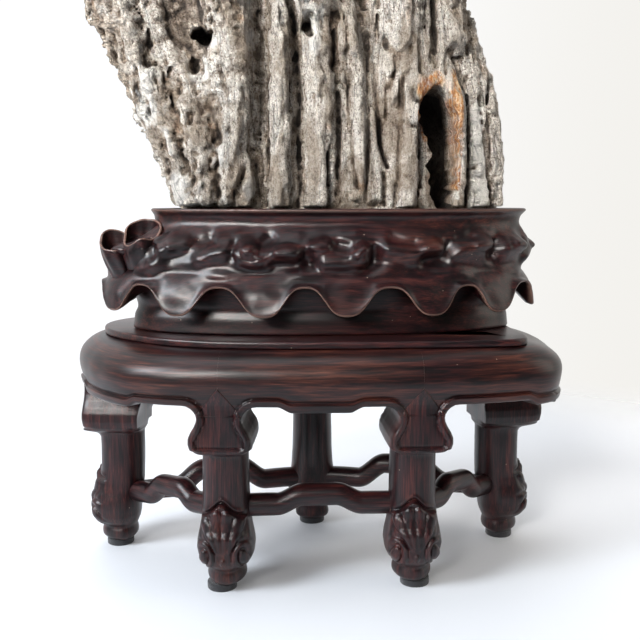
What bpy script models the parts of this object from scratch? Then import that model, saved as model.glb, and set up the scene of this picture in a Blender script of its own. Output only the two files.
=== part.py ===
"""A scholar's rock standing in its carved hardwood stand.

The stone sits in the recess of a carved seat. The seat stands on a low table of five legs, with
bullnose apron boards mitred over the shoulders of the legs, a thin board on top and five humpback
stretchers between the legs. Sizes are in millimetres and are turned into metres where a mesh is
made. +Z is up and +X is right, seen from the front, which faces -Y. The origin is on the floor,
under the middle of the stand.
"""

import math

import bpy
import bmesh
import numpy as np

MM = 0.001
PLAY = 0.3  # gap between pieces that touch

# Felt pads and feet
EDGE_EVENING = 80  # places on either side that are averaged where the outline bends
PAD_RADIUS = 8.3
PAD_HEIGHT = 4.0
PAD_OFF = {"front_left": (-2.6, 0.0), "front_right": (1.6, 0.0)}  # stuck on a little off centre

# Bullnose apron, as (how far the face stands in from the outline, height), top to bottom
APRON_FACE = (
    (12.5, 136.4),
    (6.0, 133.4),
    (1.8, 128.8),
    (0.0, 121.6),
    (0.8, 115.6),
    (3.1, 111.6),
    (1.2, 109.2),
    (2.8, 106.7),
)
APRON_WIDTH = 15.0  # from the fullest point in to the top board, on the front
APRON_UNDER = 4.0  # the apron runs this far in under the top board
APRON_TOP = 137.0
APRON_FULLEST = 121.6
APRON_BOTTOM = 106.7
CUSP_DROP = 2.8  # the pointed dip in the middle of each apron's lower edge
CUSP_TOP = 115.6
WEDGE_TOP = 121.6  # the leg's shoulder runs up into the aprons as a mitred point
WEDGE_HALF = 17.6  # half its width, at the apron's lower edge
WEDGE_EASE = 0.1  # what the point is slimmer than its notch, on top of the gap

# Outline of the bullnose at its fullest, anticlockwise from the middle of the front
TABLE_OUTLINE = (
    (0, -78),
    (60, -77),
    (105, -70),
    (131, -57),
    (142, -18),
    (144.5, 14),
    (133, 42),
    (100, 63),
    (50, 77),
    (0, 80),
    (-50, 77),
    (-98, 64),
    (-127, 48),
    (-139, 27),
    (-139.5, 4),
    (-133, -18),
    (-119, -42),
    (-100, -60),
    (-60, -73),
)

# Thin board on top of the aprons
TOP_OUTLINE = (
    (0, -64.5),
    (50, -64),
    (92, -62.5),
    (113, -56),
    (116, -30),
    (116, 6),
    (108, 38),
    (80, 55),
    (40, 63),
    (0, 65),
    (-40, 63),
    (-80, 56),
    (-111, 43),
    (-124, 22),
    (-122, -3),
    (-103, -31),
    (-77, -50),
    (-40, -61),
)
TOP_BOARD = (137.3, 140.8)  # underside and upper side

# Legs: axis of each column, and the way its carved face looks, in degrees from +X
LEGS = {
    "front_left": ((-50.5, -45.0), -95),
    "front_right": ((53.5, -45.0), -89),
    "end_right": ((117.5, 19.5), 8),
    "back": ((1.5, 47.0), 90),
    "end_left": ((-117.5, 19.5), 172),
}
FOOT_OUT = 4.0  # the feet stand this far out from the columns
# Leg sections, bottom to top: height, half width, reach of the outer face and of the inner face
# from the column's axis, and how square the outer half is (2 is round)
LEG_SECTIONS = (
    (PAD_HEIGHT + PLAY, 8.6, 12.6, 4.6, 2.0),
    (9.0, 10.8, 14.8, 6.8, 2.0),
    (14.0, 11.0, 15.2, 7.0, 2.0),
    (15.8, 10.6, 15.6, 7.2, 2.0),
    (19.5, 15.0, 19.0, 8.6, 2.6),
    (26.0, 16.8, 20.6, 9.6, 3.0),
    (32.0, 15.8, 20.4, 10.4, 3.0),
    (36.5, 13.5, 17.6, 11.4, 3.0),
    (54.0, 13.0, 17.4, 12.8, 3.0),
    (56.5, 12.9, 13.4, 13.0, 3.0),
    (79.5, 12.6, 13.4, 13.2, 3.4),
    (82.0, 13.2, 17.5, 13.6, 4.0),
    (86.0, 16.0, 23.5, 15.0, 5.0),
    (90.5, 16.8, 24.0, 16.0, 5.0),
    (96.0, 13.2, 24.0, 16.0, 5.0),
    (102.0, 11.8, 24.0, 16.0, 6.0),
)
SHOULDER_INSET = 2.6  # the shoulder's face stands in from the bullnose's outline
SHOULDER_REACH = 24.0  # reach of the shoulder's face in the sections above
SHOULDER_FROM = 81.0
LEG_POINTS = 12

# Stretchers: the two legs, height of the axis at each, rise of the hump in the middle
STRETCHERS = {
    "front": ("front_left", "front_right", 46.0, 46.0, 5.4),
    "front_right": ("front_right", "end_right", 43.5, 36.0, 7.0),
    "back_right": ("end_right", "back", 33.0, 33.0, 10.4),
    "back_left": ("back", "end_left", 33.0, 33.0, 10.4),
    "front_left": ("end_left", "front_left", 36.0, 43.5, 7.0),
}
STRETCHER_RADIUS = 6.5
STRETCHER_STATIONS = (0.0, 0.22, 0.32, 0.40, 0.60, 0.68, 0.78, 1.0)

# Seat: oval sections, bottom to top, as height, x and y of the centre, half length, half width
SEAT_FOOT = (141.1, 5.4, -4.0, 111.0, 40.0)
SEAT_FOOT_TOP = (150.0, 5.4, -4.0, 109.8, 39.5)
SEAT_UNDERCUT = (163.0, 5.0, -4.0, 106.0, 37.0)
SKIRT_INNER = (1.8, 3.7, -4.0, 123.5, 53.0)  # height is above the scalloped edge
SKIRT_EDGE = (0.0, 3.7, -4.0, 127.2, 57.0)
SKIRT_SHOULDER = (170.5, 3.2, -4.0, 122.5, 50.5)
SEAT_WAIST = (175.5, 3.0, -4.0, 119.4, 46.5)
BAND_LOW = (182.5, 4.0, -4.0, 122.0, 48.0)
BAND_FULL = (188.5, 4.4, -4.0, 123.4, 49.0)
BAND_TOP = (194.5, 4.6, -4.0, 121.0, 46.5)
SEAT_NECK = (199.5, 8.5, -4.0, 110.5, 38.5)
RIM_UNDER = (205.5, 14.0, -4.0, 107.5, 39.5)
RIM_EDGE = (209.0, 15.8, -4.0, 109.4, 42.0)
RIM_TOP = (210.3, 15.8, -4.0, 107.6, 40.5)
LOBES = 13
LOBE_POINTS = 6
LOBE_LOW = 153.3
LOBE_HIGH = 168.6
LOBE_SHIFT = 10.5  # arc from the middle of the front to the nearest lobe
KNOBS = 17
KNOB_REACH = 3.4

# Rock: how far it reaches left and right at each height
ROCK_LEVELS = (198, 213, 220, 235, 249, 272, 286, 307, 327, 358, 398, 428, 450, 468, 478, 484)
ROCK_LEFT = (-77, -78, -82, -86, -92, -103, -107, -119, -128, -137, -134, -124, -112, -101, -92, -82)
ROCK_RIGHT = (108, 109, 110, 111, 108, 105, 102, 94, 86, 76, 60, 42, 16, -22, -48, -66)
ROCK_MIDDLE_Y = -2.0
ROCK_HALF_DEPTH = (35, 34, 34, 35, 36, 37, 37, 37, 36, 34, 30, 27, 23, 18, 12, 4)
ROCK_BOTTOM = 204.3
ROCK_TOP = 480.0
RECESS_FLOOR = 204.0
RECESS_PLAY = 3.3
ROCK_GRID = 4.5
ROCK_TRIANGLES = 2800


def material(name, colour, roughness):
    surface = bpy.data.materials.new(name)
    surface.use_nodes = True
    shader = surface.node_tree.nodes["Principled BSDF"]
    shader.inputs["Base Color"].default_value = (*colour, 1.0)
    shader.inputs["Roughness"].default_value = roughness
    shader.inputs["Metallic"].default_value = 0.0
    surface.diffuse_color = (*colour, 1.0)
    return surface


def closed_curve(points, count):
    """A smooth closed curve through the points: places and outward normals at even arc steps."""
    knots = np.array(points, float)
    size = len(knots)
    spans = np.linalg.norm(np.roll(knots, -1, axis=0) - knots, axis=1)
    matrix = np.zeros((size, size))
    slopes = (np.roll(knots, -1, axis=0) - knots) / spans[:, None]
    for i in range(size):
        matrix[i, i - 1] = spans[i - 1]
        matrix[i, i] = 2 * (spans[i - 1] + spans[i])
        matrix[i, (i + 1) % size] = spans[i]
    bend = np.linalg.solve(matrix, 6 * (slopes - np.roll(slopes, 1, axis=0)))
    traced = []
    for i in range(size):
        j = (i + 1) % size
        b = np.linspace(0, 1, 80, endpoint=False)[:, None]
        a = 1 - b
        curve = a * knots[i] + b * knots[j]
        curve = curve + ((a**3 - a) * bend[i] + (b**3 - b) * bend[j]) * spans[i] ** 2 / 6
        traced.append(curve)
    traced = np.concatenate(traced)
    ring = np.vstack([traced, traced[:1]])
    arc = np.concatenate([[0], np.cumsum(np.linalg.norm(np.diff(ring, axis=0), axis=1))])
    steps = np.linspace(0, arc[-1], count, endpoint=False)
    places = np.stack([np.interp(steps, arc, ring[:, k]) for k in (0, 1)], axis=1)
    along = np.roll(places, -1, axis=0) - np.roll(places, 1, axis=0)
    along /= np.linalg.norm(along, axis=1)[:, None]
    return places, np.stack([along[:, 1], -along[:, 0]], axis=1), arc[-1]


def evened(values, reach):
    """Values round a closed line, each averaged with its neighbours."""
    window = np.hanning(2 * reach + 1)
    wrapped = np.concatenate([values[-reach:], values, values[:reach]])
    return np.convolve(wrapped, window / window.sum(), "valid")


EDGE, EDGE_NORMAL, EDGE_LENGTH = closed_curve(TABLE_OUTLINE, 1440)
EDGE_NORMAL = np.stack([evened(EDGE_NORMAL[:, k], EDGE_EVENING) for k in (0, 1)], axis=1)
CENTRE_X = (EDGE[:, 0].min() + EDGE[:, 0].max()) / 2
CENTRE_Y = (EDGE[:, 1].min() + EDGE[:, 1].max()) / 2


def on_edge(arc, inset):
    """The point that far along the bullnose's outline and that far in from it."""
    at = (arc / EDGE_LENGTH * len(EDGE)) % len(EDGE)
    low = int(at)
    high = (low + 1) % len(EDGE)
    part = at - low
    place = EDGE[low] * (1 - part) + EDGE[high] * part
    normal = EDGE_NORMAL[low] * (1 - part) + EDGE_NORMAL[high] * part
    return place - normal / np.linalg.norm(normal) * inset


def board_gaps():
    """How far in from the outline the top board's edge lies, all round, evened out."""
    places, _, _ = closed_curve(TOP_OUTLINE, 720)
    gaps = np.array([np.linalg.norm(places - point, axis=1).min() for point in EDGE])
    return evened(gaps, EDGE_EVENING)


BOARD_GAP = board_gaps()


def gap_at(arc):
    at = arc / EDGE_LENGTH * len(EDGE)
    return float(np.interp(at % len(EDGE), np.arange(len(EDGE) + 1), [*BOARD_GAP, BOARD_GAP[0]]))


def arc_of(point):
    return np.argmin(np.linalg.norm(EDGE - np.array(point), axis=1)) / len(EDGE) * EDGE_LENGTH


def make(name, points, faces, surface, sharp=40.0):
    """One closed solid, from points in millimetres, with its faces turned outwards."""
    mesh = bpy.data.meshes.new(name)
    shift = np.array([CENTRE_X, CENTRE_Y, 0.0])
    mesh.from_pydata(((np.array(points) - shift) * MM).tolist(), [], faces)
    shape = bmesh.new()
    shape.from_mesh(mesh)
    bmesh.ops.recalc_face_normals(shape, faces=shape.faces)
    shape.to_mesh(mesh)
    shape.free()
    mesh.shade_smooth()
    mesh.set_sharp_from_angle(angle=math.radians(sharp))
    mesh.materials.append(surface)
    solid = bpy.data.objects.new(name, mesh)
    bpy.context.scene.collection.objects.link(solid)
    return solid


def skin(rings):
    """Faces round a stack of rings of equal length, without the two ends."""
    around = len(rings[0])
    faces = []
    for k in range(len(rings) - 1):
        for i in range(around):
            j = (i + 1) % around
            low = k * around
            high = low + around
            faces.append((low + i, low + j, high + j, high + i))
    return faces


def loft(name, rings, surface, sharp=40.0):
    """Rings from one end to the other, closed by a flat face at each end."""
    around = len(rings[0])
    faces = skin(rings)
    last = (len(rings) - 1) * around
    faces.append(tuple(range(around))[::-1])
    faces.append(tuple(range(last, last + around)))
    return make(name, np.concatenate(rings), faces, surface, sharp)


def smooth_step(value):
    value = min(max(value, 0.0), 1.0)
    return value * value * (3 - 2 * value)


def apron_inset(height, arc):
    """How far the face stands in from the outline: above its fullest point it runs to the board."""
    heights = [z for _, z in APRON_FACE][::-1]
    insets = [inset for inset, _ in APRON_FACE][::-1]
    inset = float(np.interp(height, heights, insets))
    if height > APRON_FULLEST:
        inset *= (gap_at(arc) + 1.5) / APRON_WIDTH
    return inset


def apron_back(arc):
    return gap_at(arc) + APRON_UNDER


def wedge_half(height):
    """Half width of the leg's mitred point at that height."""
    return WEDGE_HALF * max(WEDGE_TOP - height, 0.0) / (WEDGE_TOP - APRON_BOTTOM)


def leg_place(key):
    """Axis of a leg, the way it faces, where it meets the outline and how far off that is."""
    axis, degrees = LEGS[key]
    axis = np.array(axis)
    facing = math.radians(degrees)
    out = np.array([math.cos(facing), math.sin(facing)])
    reach = 26.0
    for _ in range(4):
        arc = arc_of(axis + out * reach)
        reach = float(np.dot(on_edge(arc, 0) - axis, out))
    return axis, out, arc, reach


def arc_beside(place, offset, inset_at):
    """Where a line that far beside a leg's middle, running the way the leg faces, meets an inset."""
    axis, out, arc, _ = place
    side = np.array([-out[1], out[0]])
    for _ in range(8):
        arc += offset - float(np.dot(on_edge(arc, inset_at(arc)) - axis, side))
    return arc


def apron_board(name, first, last, surface, stations=7):
    """A bullnose board between two legs, notched at each end over the leg's mitred shoulder."""
    turns = EDGE_LENGTH if last[2] < first[2] else 0
    middle = (first[2] + last[2] + turns) / 2
    pairs = len(APRON_FACE)
    rings = [[] for _ in range(stations + 1)]
    for _, height in APRON_FACE:
        room = wedge_half(height) + PLAY * 1.2
        top = APRON_TOP if height == APRON_FACE[0][1] else height
        low = min(max((CUSP_TOP - height) / (CUSP_TOP - APRON_BOTTOM), 0.0), 1.0)
        for inset_at, level in ((lambda arc: apron_inset(height, arc), height), (apron_back, top)):
            start = arc_beside(first, room, inset_at)
            end = arc_beside(last, -room, inset_at) + turns
            for k, ring in enumerate(rings):
                arc = start + (end - start) * k / stations
                dip = CUSP_DROP * low * max(1 - abs(arc - middle) / 14, 0.0) ** 2
                ring.append((*on_edge(arc, inset_at(arc)), level - dip))
    rings = [np.array(ring[::2] + ring[1::2][::-1]) for ring in rings]
    faces = skin(rings)
    around = 2 * pairs
    for base in (0, stations * around):
        for i in range(pairs - 1):
            a, b = base + i, base + i + 1
            c, d = base + around - 2 - i, base + around - 1 - i
            faces.append((a, b, c, d) if base else (d, c, b, a))
    return make(name, np.concatenate(rings), faces, surface)


def leg_ring(place, section):
    """One level of a leg: round towards the inside of the table, squarer on its carved face."""
    axis, out, _, reach = place
    height, half, outer, inner, square = section
    side = np.array([-out[1], out[0]])
    blend = smooth_step((height - 95) / (APRON_BOTTOM - 95))
    ring = []
    for i in range(LEG_POINTS):
        turn = 2 * math.pi * (i + 0.5) / LEG_POINTS
        c, s = math.cos(turn), math.sin(turn)
        power = 2 / (square if s > 0 else max(2.0, square * 0.7))
        u = half * math.copysign(abs(c) ** power, c)
        v = math.copysign(abs(s) ** power, s)
        depth = v * (outer if v > 0 else inner)
        straight = axis + side * u + out * depth
        arc = arc_beside(place, u, lambda arc: reach - depth)
        bent = on_edge(arc, reach - depth)
        ring.append((*(straight * (1 - blend) + bent * blend), height))
    return np.array(ring)


def leg(name, place, surface):
    reach = place[3]
    rings = []
    for height, half, outer, inner, square in LEG_SECTIONS:
        if height > SHOULDER_FROM:
            outer += reach - SHOULDER_INSET - SHOULDER_REACH
        rings.append(leg_ring(place, (height, half, outer, inner, square)))
    for height in (APRON_BOTTOM - PLAY, 111.6, 115.6, WEDGE_TOP - 1.0):
        half = max(wedge_half(height) - WEDGE_EASE, 0.8)
        front = reach - apron_inset(height, place[2])
        back = max(apron_back(place[2]) - reach, 1.0)
        rings.append(leg_ring(place, (height, half, front, back, 9.0)))
    return loft(name, rings, surface)


def bar_room(place, along, height):
    """How far from a leg's axis a level bar that runs along it can start, clear of the leg."""
    across = np.array([-along[1], along[0]])
    table = np.array(LEG_SECTIONS).T
    most = 0.0
    for level in np.linspace(height - STRETCHER_RADIUS, height + STRETCHER_RADIUS, 7):
        section = [np.interp(level, table[0], column) for column in table]
        ring = leg_ring(place, section)[:, :2] - place[0]
        for part in (0, 0.25, 0.5, 0.75):
            points = ring * (1 - part) + np.roll(ring, -1, axis=0) * part
            met = points[np.abs(points @ across) <= STRETCHER_RADIUS + 0.5]
            most = max(most, (met @ along).max())
    return most + PLAY * 1.5


def stretcher(name, first, last, low_start, low_end, rise, surface, around=8):
    """A round bar that steps up in the middle, between two legs."""
    span = np.linalg.norm(last[0] - first[0])
    along = (last[0] - first[0]) / span
    side = np.array([-along[1], along[0]])
    begin = bar_room(first, along, low_start)
    end = span - bar_room(last, -along, low_end)
    rings = []
    for part in STRETCHER_STATIONS:
        place = first[0] + along * (begin + (end - begin) * part)
        near = min(part, 1 - part)
        height = low_start + (low_end - low_start) * part + rise * smooth_step((near - 0.2) / 0.2)
        ring = []
        for i in range(around):
            turn = 2 * math.pi * (i + 0.5) / around
            flat = place + side * STRETCHER_RADIUS * math.cos(turn)
            ring.append((*flat, height + STRETCHER_RADIUS * math.sin(turn)))
        rings.append(np.array(ring))
    return loft(name, rings, surface)


def felt_pad(name, axis, surface, around=12):
    rings = []
    for height, radius in ((0, PAD_RADIUS), (PAD_HEIGHT, PAD_RADIUS)):
        turns = [2 * math.pi * i / around for i in range(around)]
        rings.append(
            np.array(
                [
                    (axis[0] + radius * math.cos(t), axis[1] + radius * math.sin(t), height)
                    for t in turns
                ]
            )
        )
    return loft(name, rings, surface)


def board(name, surface, around=40):
    places, normals, _ = closed_curve(TOP_OUTLINE, around)
    rings = []
    for height, inset in ((TOP_BOARD[0], 0.0), (TOP_BOARD[1] - 0.8, 0.0), (TOP_BOARD[1], 0.8)):
        flat = places - normals * inset
        rings.append(np.column_stack([flat, np.full(around, height)]))
    return loft(name, rings, surface)


def even_turns(half_x, half_y, count):
    """Angles that divide an oval into equal arcs, anticlockwise from the middle of the front."""
    turn = np.linspace(0, 2 * math.pi, 4001)
    x = half_x * np.sin(turn)
    y = -half_y * np.cos(turn)
    arc = np.concatenate([[0], np.cumsum(np.hypot(np.diff(x), np.diff(y)))])
    return np.interp(np.linspace(0, arc[-1], count, endpoint=False), arc, turn), arc[-1]


def rock_reach(height):
    """Middle, half length and half depth of the rock at that height."""
    left = np.interp(height, ROCK_LEVELS, ROCK_LEFT)
    right = np.interp(height, ROCK_LEVELS, ROCK_RIGHT)
    depth = np.interp(height, ROCK_LEVELS, ROCK_HALF_DEPTH)
    return (left + right) / 2, (right - left) / 2, depth


def seat(name, surface):
    """Foot, scalloped skirt with a hollow under it, waist, band of knobs, neck, rim and recess."""
    count = LOBES * LOBE_POINTS
    turns, length = even_turns(SKIRT_EDGE[3], SKIRT_EDGE[4], count)
    arcs = np.arange(count) * length / count
    lobe = (1 + np.cos(2 * math.pi * LOBES * (arcs - LOBE_SHIFT) / length)) / 2
    knob = (1 + np.cos(2 * math.pi * KNOBS * (arcs - LOBE_SHIFT) / length)) / 2
    edge_height = LOBE_HIGH + (LOBE_LOW - LOBE_HIGH) * lobe
    left_end = np.clip(-np.sin(turns) - 0.72, 0, 1) / 0.28

    def oval(section, heights=None, swell=0.0):
        height, x, y, half_x, half_y = section
        flat_x = x + (half_x + swell) * np.sin(turns)
        flat_y = y - (half_y + swell) * np.cos(turns)
        heights = np.full(count, height) if heights is None else heights
        return np.column_stack([flat_x, flat_y, heights])

    middle, half, depth = rock_reach(ROCK_BOTTOM + 6)
    pocket = (middle, ROCK_MIDDLE_Y, half + RECESS_PLAY, depth + RECESS_PLAY)
    rings = [
        oval(SEAT_FOOT),
        oval(SEAT_FOOT_TOP),
        oval(SEAT_UNDERCUT),
        oval(SKIRT_INNER, edge_height + SKIRT_INNER[0]),
        oval(SKIRT_EDGE, edge_height, swell=lobe * 1.0 - 0.5),
        oval(SKIRT_SHOULDER, swell=lobe * 2.0 - 1.0),
        oval(SEAT_WAIST),
        oval(BAND_LOW, swell=knob * 2.0),
        oval(BAND_FULL, swell=knob * KNOB_REACH),
        oval(BAND_TOP, swell=knob * 1.0 + left_end * 3.0),
        oval(SEAT_NECK, swell=left_end * 8.0),
        oval(RIM_UNDER),
        oval(RIM_EDGE),
        oval(RIM_TOP),
        oval((RIM_TOP[0] - 0.6, *pocket)),
        oval((RECESS_FLOOR, *pocket)),
    ]
    return loft(name, rings, surface)


# Rock forms that stand out of the body or run into it, as paths of (x, y, z, radius)
ROCK_RIDGES = (
    ((-69, -20, 212, 7), (-79, -22, 248, 8), (-95, -24, 292, 9), (-112, -24, 343, 12),
     (-117, -20, 398, 11), (-106, -10, 443, 8)),
    ((-48, -33, 238, 8), (-43, -36, 260, 8), (-44, -36, 288, 10), (-47, -35, 323, 12),
     (-58, -30, 378, 12), (-74, -20, 433, 10), (-82, -8, 468, 8)),
    ((-20, -33, 210, 7), (-20, -35, 248, 7), (-18, -36, 298, 7), (-20, -35, 338, 8),
     (-34, -27, 398, 8), (-58, -14, 450, 7)),
    ((0, -34, 210, 8), (1, -36, 263, 8), (0, -37, 296, 9), (-3, -37, 323, 12),
     (-6, -33, 360, 10), (-20, -24, 413, 8), (-40, -10, 446, 6)),
    ((22, -33, 212, 8), (22, -35, 258, 8), (18, -36, 303, 7), (16, -33, 348, 8),
     (4, -24, 398, 8)),
    ((50, -31, 212, 10), (48, -34, 263, 9), (46, -34, 318, 11), (40, -30, 358, 10),
     (24, -20, 406, 8)),
    ((77, -26, 210, 8), (77, -30, 260, 8), (73, -28, 298, 8), (71, -27, 323, 9),
     (60, -22, 363, 8), (46, -12, 393, 7)),
    ((-42, -31, 222, 12), (-41, -31, 227, 12)),
    ((-60, -28, 220, 8), (-61, -31, 244, 8), (-66, -31, 266, 8)),
    ((-74, 22, 214, 8), (-93, 22, 268, 10), (-114, 22, 328, 12), (-121, 16, 393, 11),
     (-108, 6, 438, 9)),
    ((-52, 32, 210, 9), (-62, 35, 278, 12), (-76, 32, 348, 12), (-86, 22, 418, 10),
     (-86, 8, 460, 8)),
    ((-8, 33, 210, 10), (-14, 37, 288, 11), (-30, 34, 368, 12), (-54, 20, 428, 9),
     (-66, 6, 460, 7)),
    ((40, 32, 210, 9), (36, 35, 278, 11), (20, 31, 348, 10), (-6, 20, 408, 8)),
    ((84, 24, 210, 8), (78, 28, 268, 9), (62, 24, 333, 10), (44, 14, 383, 7)),
)
ROCK_CREVICES = (
    ((-31, -40, 210, 4), (-31, -38, 248, 6), (-30, -40, 283, 7), (-30, -42, 323, 7),
     (-44, -32, 398, 6)),
    ((-10, -40, 210, 4), (-9, -37, 258, 5), (-12, -40, 318, 4), (-22, -34, 368, 5),
     (-44, -20, 428, 4)),
    ((66, -38, 212, 7), (65, -36, 243, 8), (61, -38, 266, 6)),
    ((86, -34, 210, 4), (85, -34, 268, 4), (76, -36, 292, 5)),
    ((-64, -38, 287, 8), (-68, -40, 308, 15), (-76, -40, 343, 16), (-86, -34, 388, 10)),
    ((28, -41, 288, 5), (27, -42, 323, 8), (20, -36, 368, 6)),
    ((61, -40, 298, 4), (60, -38, 348, 5)),
    ((-72, 36, 218, 6), (-82, 38, 298, 8), (-96, 32, 368, 8), (-98, 20, 428, 6)),
    ((-30, 40, 210, 6), (-38, 42, 298, 9), (-54, 36, 378, 8)),
    ((16, 40, 210, 6), (10, 42, 288, 8), (-8, 36, 368, 8)),
    ((62, 36, 210, 6), (56, 38, 278, 7), (40, 32, 338, 7)),
)


def lattice_noise(places, spacing, seed):
    """Smooth random values from -1 to 1 on the grid, from a lattice with the given spacing."""
    weights = []
    for values, step in zip(places, spacing):
        size = int(1200 / step) + 3
        at = (values + 600) / step
        low = np.floor(at).astype(int)
        part = at - low
        part = part * part * (3 - 2 * part)
        weight = np.zeros((len(values), size))
        weight[np.arange(len(values)), low] = 1 - part
        weight[np.arange(len(values)), low + 1] = part
        used = slice(low.min(), low.max() + 2)
        weights.append((weight[:, used], used, size))
    draws = np.random.default_rng(seed).random([size for _, _, size in weights])
    draws = draws[weights[0][1], weights[1][1], weights[2][1]] * 2 - 1
    return np.einsum("ai,bj,ck,ijk->abc", *[w[0] for w in weights], draws, optimize=True)


def rock_field(xs, ys, zs):
    """Positive inside the stone and negative outside, roughly in millimetres from its surface."""
    x, y, z = np.meshgrid(xs, ys, zs, indexing="ij")
    middle, half, depth = rock_reach(z)
    power = 2.6
    reach = (np.abs((x - middle) / half) ** power) + (np.abs((y - ROCK_MIDDLE_Y) / depth) ** power)
    reach = reach ** (1 / power)
    slope = np.gradient(reach, xs[1] - xs[0])
    steepness = np.sqrt(sum(part**2 for part in slope)) + 1e-4
    field = np.clip((1 - reach) / steepness, -30, 30)
    for paths, sign, blend in ((ROCK_RIDGES, 1, 5.0), (ROCK_CREVICES, -1, 3.0)):
        for path in paths:
            for start, end in zip(path, path[1:]):
                run = np.subtract(end[:3], start[:3])
                away = (x - start[0], y - start[1], z - start[2])
                part = sum(a * r for a, r in zip(away, run)) / np.dot(run, run)
                part = np.clip(part, 0, 1)
                gap = np.sqrt(sum((a - part * r) ** 2 for a, r in zip(away, run)))
                form = start[3] + (end[3] - start[3]) * part - gap
                mix = np.clip(0.5 + 0.5 * (sign * field - form) / blend, 0, 1)
                joined = mix * sign * field + (1 - mix) * form + blend * mix * (1 - mix)
                field = sign * joined
    field = field + 2.4 * lattice_noise((xs, ys, zs), (22, 22, 34), 5)
    field = field + 1.3 * lattice_noise((xs, ys, zs), (11, 11, 20), 6)
    middle, half, depth = rock_reach(ROCK_BOTTOM + 6)
    foot = 1 - np.hypot((x - middle) / (half - 0.6), (y - ROCK_MIDDLE_Y) / (depth - 0.6))
    foot = foot * depth + np.clip(z - (RIM_TOP[0] + 1), 0, None) * 4
    ends = np.minimum(z - ROCK_BOTTOM, ROCK_TOP - z)
    return np.minimum(np.minimum(field, foot), ends)


def fill_pinches(field):
    """Fills a grid corner wherever two solid corners would meet only across a face's diagonal."""
    for _ in range(12):
        changed = 0
        for axis in range(3):
            flat = np.moveaxis(field, axis, 0)
            a, b = flat[:, :-1, :-1], flat[:, 1:, 1:]
            c, d = flat[:, :-1, 1:], flat[:, 1:, :-1]
            pinch = (a > 0) & (b > 0) & (c <= 0) & (d <= 0)
            c[pinch] = 0.3
            pinch_too = (a <= 0) & (b <= 0) & (c > 0) & (d > 0)
            a[pinch_too] = 0.3
            changed += pinch.sum() + pinch_too.sum()
        if not changed:
            break
    return field


def surface_of(field, low, step):
    """Quads over the zero surface of a field: one point in each grid cell that the surface crosses."""
    shape = np.array(field.shape)
    sums = np.zeros((shape.prod(), 3))
    counts = np.zeros(shape.prod())
    quads = []
    for axis in range(3):
        near = [slice(None)] * 3
        far = [slice(None)] * 3
        near[axis] = slice(0, -1)
        far[axis] = slice(1, None)
        before, after = field[tuple(near)], field[tuple(far)]
        at = np.argwhere((before > 0) != (after > 0))
        first = before[tuple(at.T)]
        point = at.astype(float)
        point[:, axis] += first / (first - after[tuple(at.T)])
        u, v = (axis + 1) % 3, (axis + 2) % 3
        around = []
        for du, dv in ((1, 1), (0, 1), (0, 0), (1, 0)):
            cell = at.copy()
            cell[:, u] -= du
            cell[:, v] -= dv
            flat = np.ravel_multi_index(cell.T, shape)
            for k in range(3):
                sums[:, k] += np.bincount(flat, point[:, k], len(counts))
            counts += np.bincount(flat, minlength=len(counts))
            around.append(flat)
        around = np.stack(around, axis=1)
        quads.append(np.where((first > 0)[:, None], around, around[:, ::-1]))
    used = counts > 0
    index = np.cumsum(used) - 1
    points = np.array(low) + step * sums[used] / counts[used][:, None]
    return points, index[np.concatenate(quads)]


def largest_body(field):
    """The field with every separate crumb beside the main body taken out."""
    solid = field > 0
    reached = np.zeros_like(solid)
    reached[tuple(np.array(np.unravel_index(np.argmax(field), field.shape)))] = True
    while True:
        grown = reached.copy()
        for axis in range(3):
            ahead = np.moveaxis(grown, axis, 0)
            now = np.moveaxis(reached, axis, 0)
            ahead[1:] |= now[:-1]
            ahead[:-1] |= now[1:]
        grown &= solid
        if (grown == reached).all():
            break
        reached = grown
    return np.where(solid & ~reached, -0.3, field)


def rock(name, surface):
    low = (-165.0, -66.0, 199.0)
    high = (136.0, 62.0, 496.0)
    places = [np.arange(a, b, ROCK_GRID) for a, b in zip(low, high)]
    field = fill_pinches(largest_body(rock_field(*places)))
    points, quads = surface_of(field, low, ROCK_GRID)
    solid = make(name, points, quads.tolist(), surface, 50.0)
    thin = solid.modifiers.new("Facets", "DECIMATE")
    thin.ratio = ROCK_TRIANGLES / (2 * len(quads))
    return solid


def main():
    for old in list(bpy.data.objects):
        bpy.data.objects.remove(old, do_unlink=True)

    stone = material("grey_cream_stone", (0.46, 0.41, 0.34), 0.75)
    rosewood = material("dark_rosewood", (0.045, 0.022, 0.018), 0.32)
    felt = material("black_felt", (0.012, 0.012, 0.013), 0.95)

    rock("rock", stone)
    seat("rock_seat", rosewood)
    board("top_board", rosewood)

    places = {key: leg_place(key) for key in LEGS}
    order = ("front_left", "front_right", "end_right", "back", "end_left")
    names = ("front", "front_right", "back_right", "back_left", "front_left")
    for i, name in enumerate(names):
        apron_board("apron_" + name, places[order[i]], places[order[(i + 1) % 5]], rosewood)

    for key in LEGS:
        leg("leg_" + key, places[key], rosewood)
        axis, out, _, _ = places[key]
        felt_pad("pad_" + key, axis + out * FOOT_OUT + np.array(PAD_OFF.get(key, (0, 0))), felt)

    for key, (first, second, low_first, low_second, rise) in STRETCHERS.items():
        ends = places[first], places[second]
        stretcher("stretcher_" + key, *ends, low_first, low_second, rise, rosewood)


main()
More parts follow.
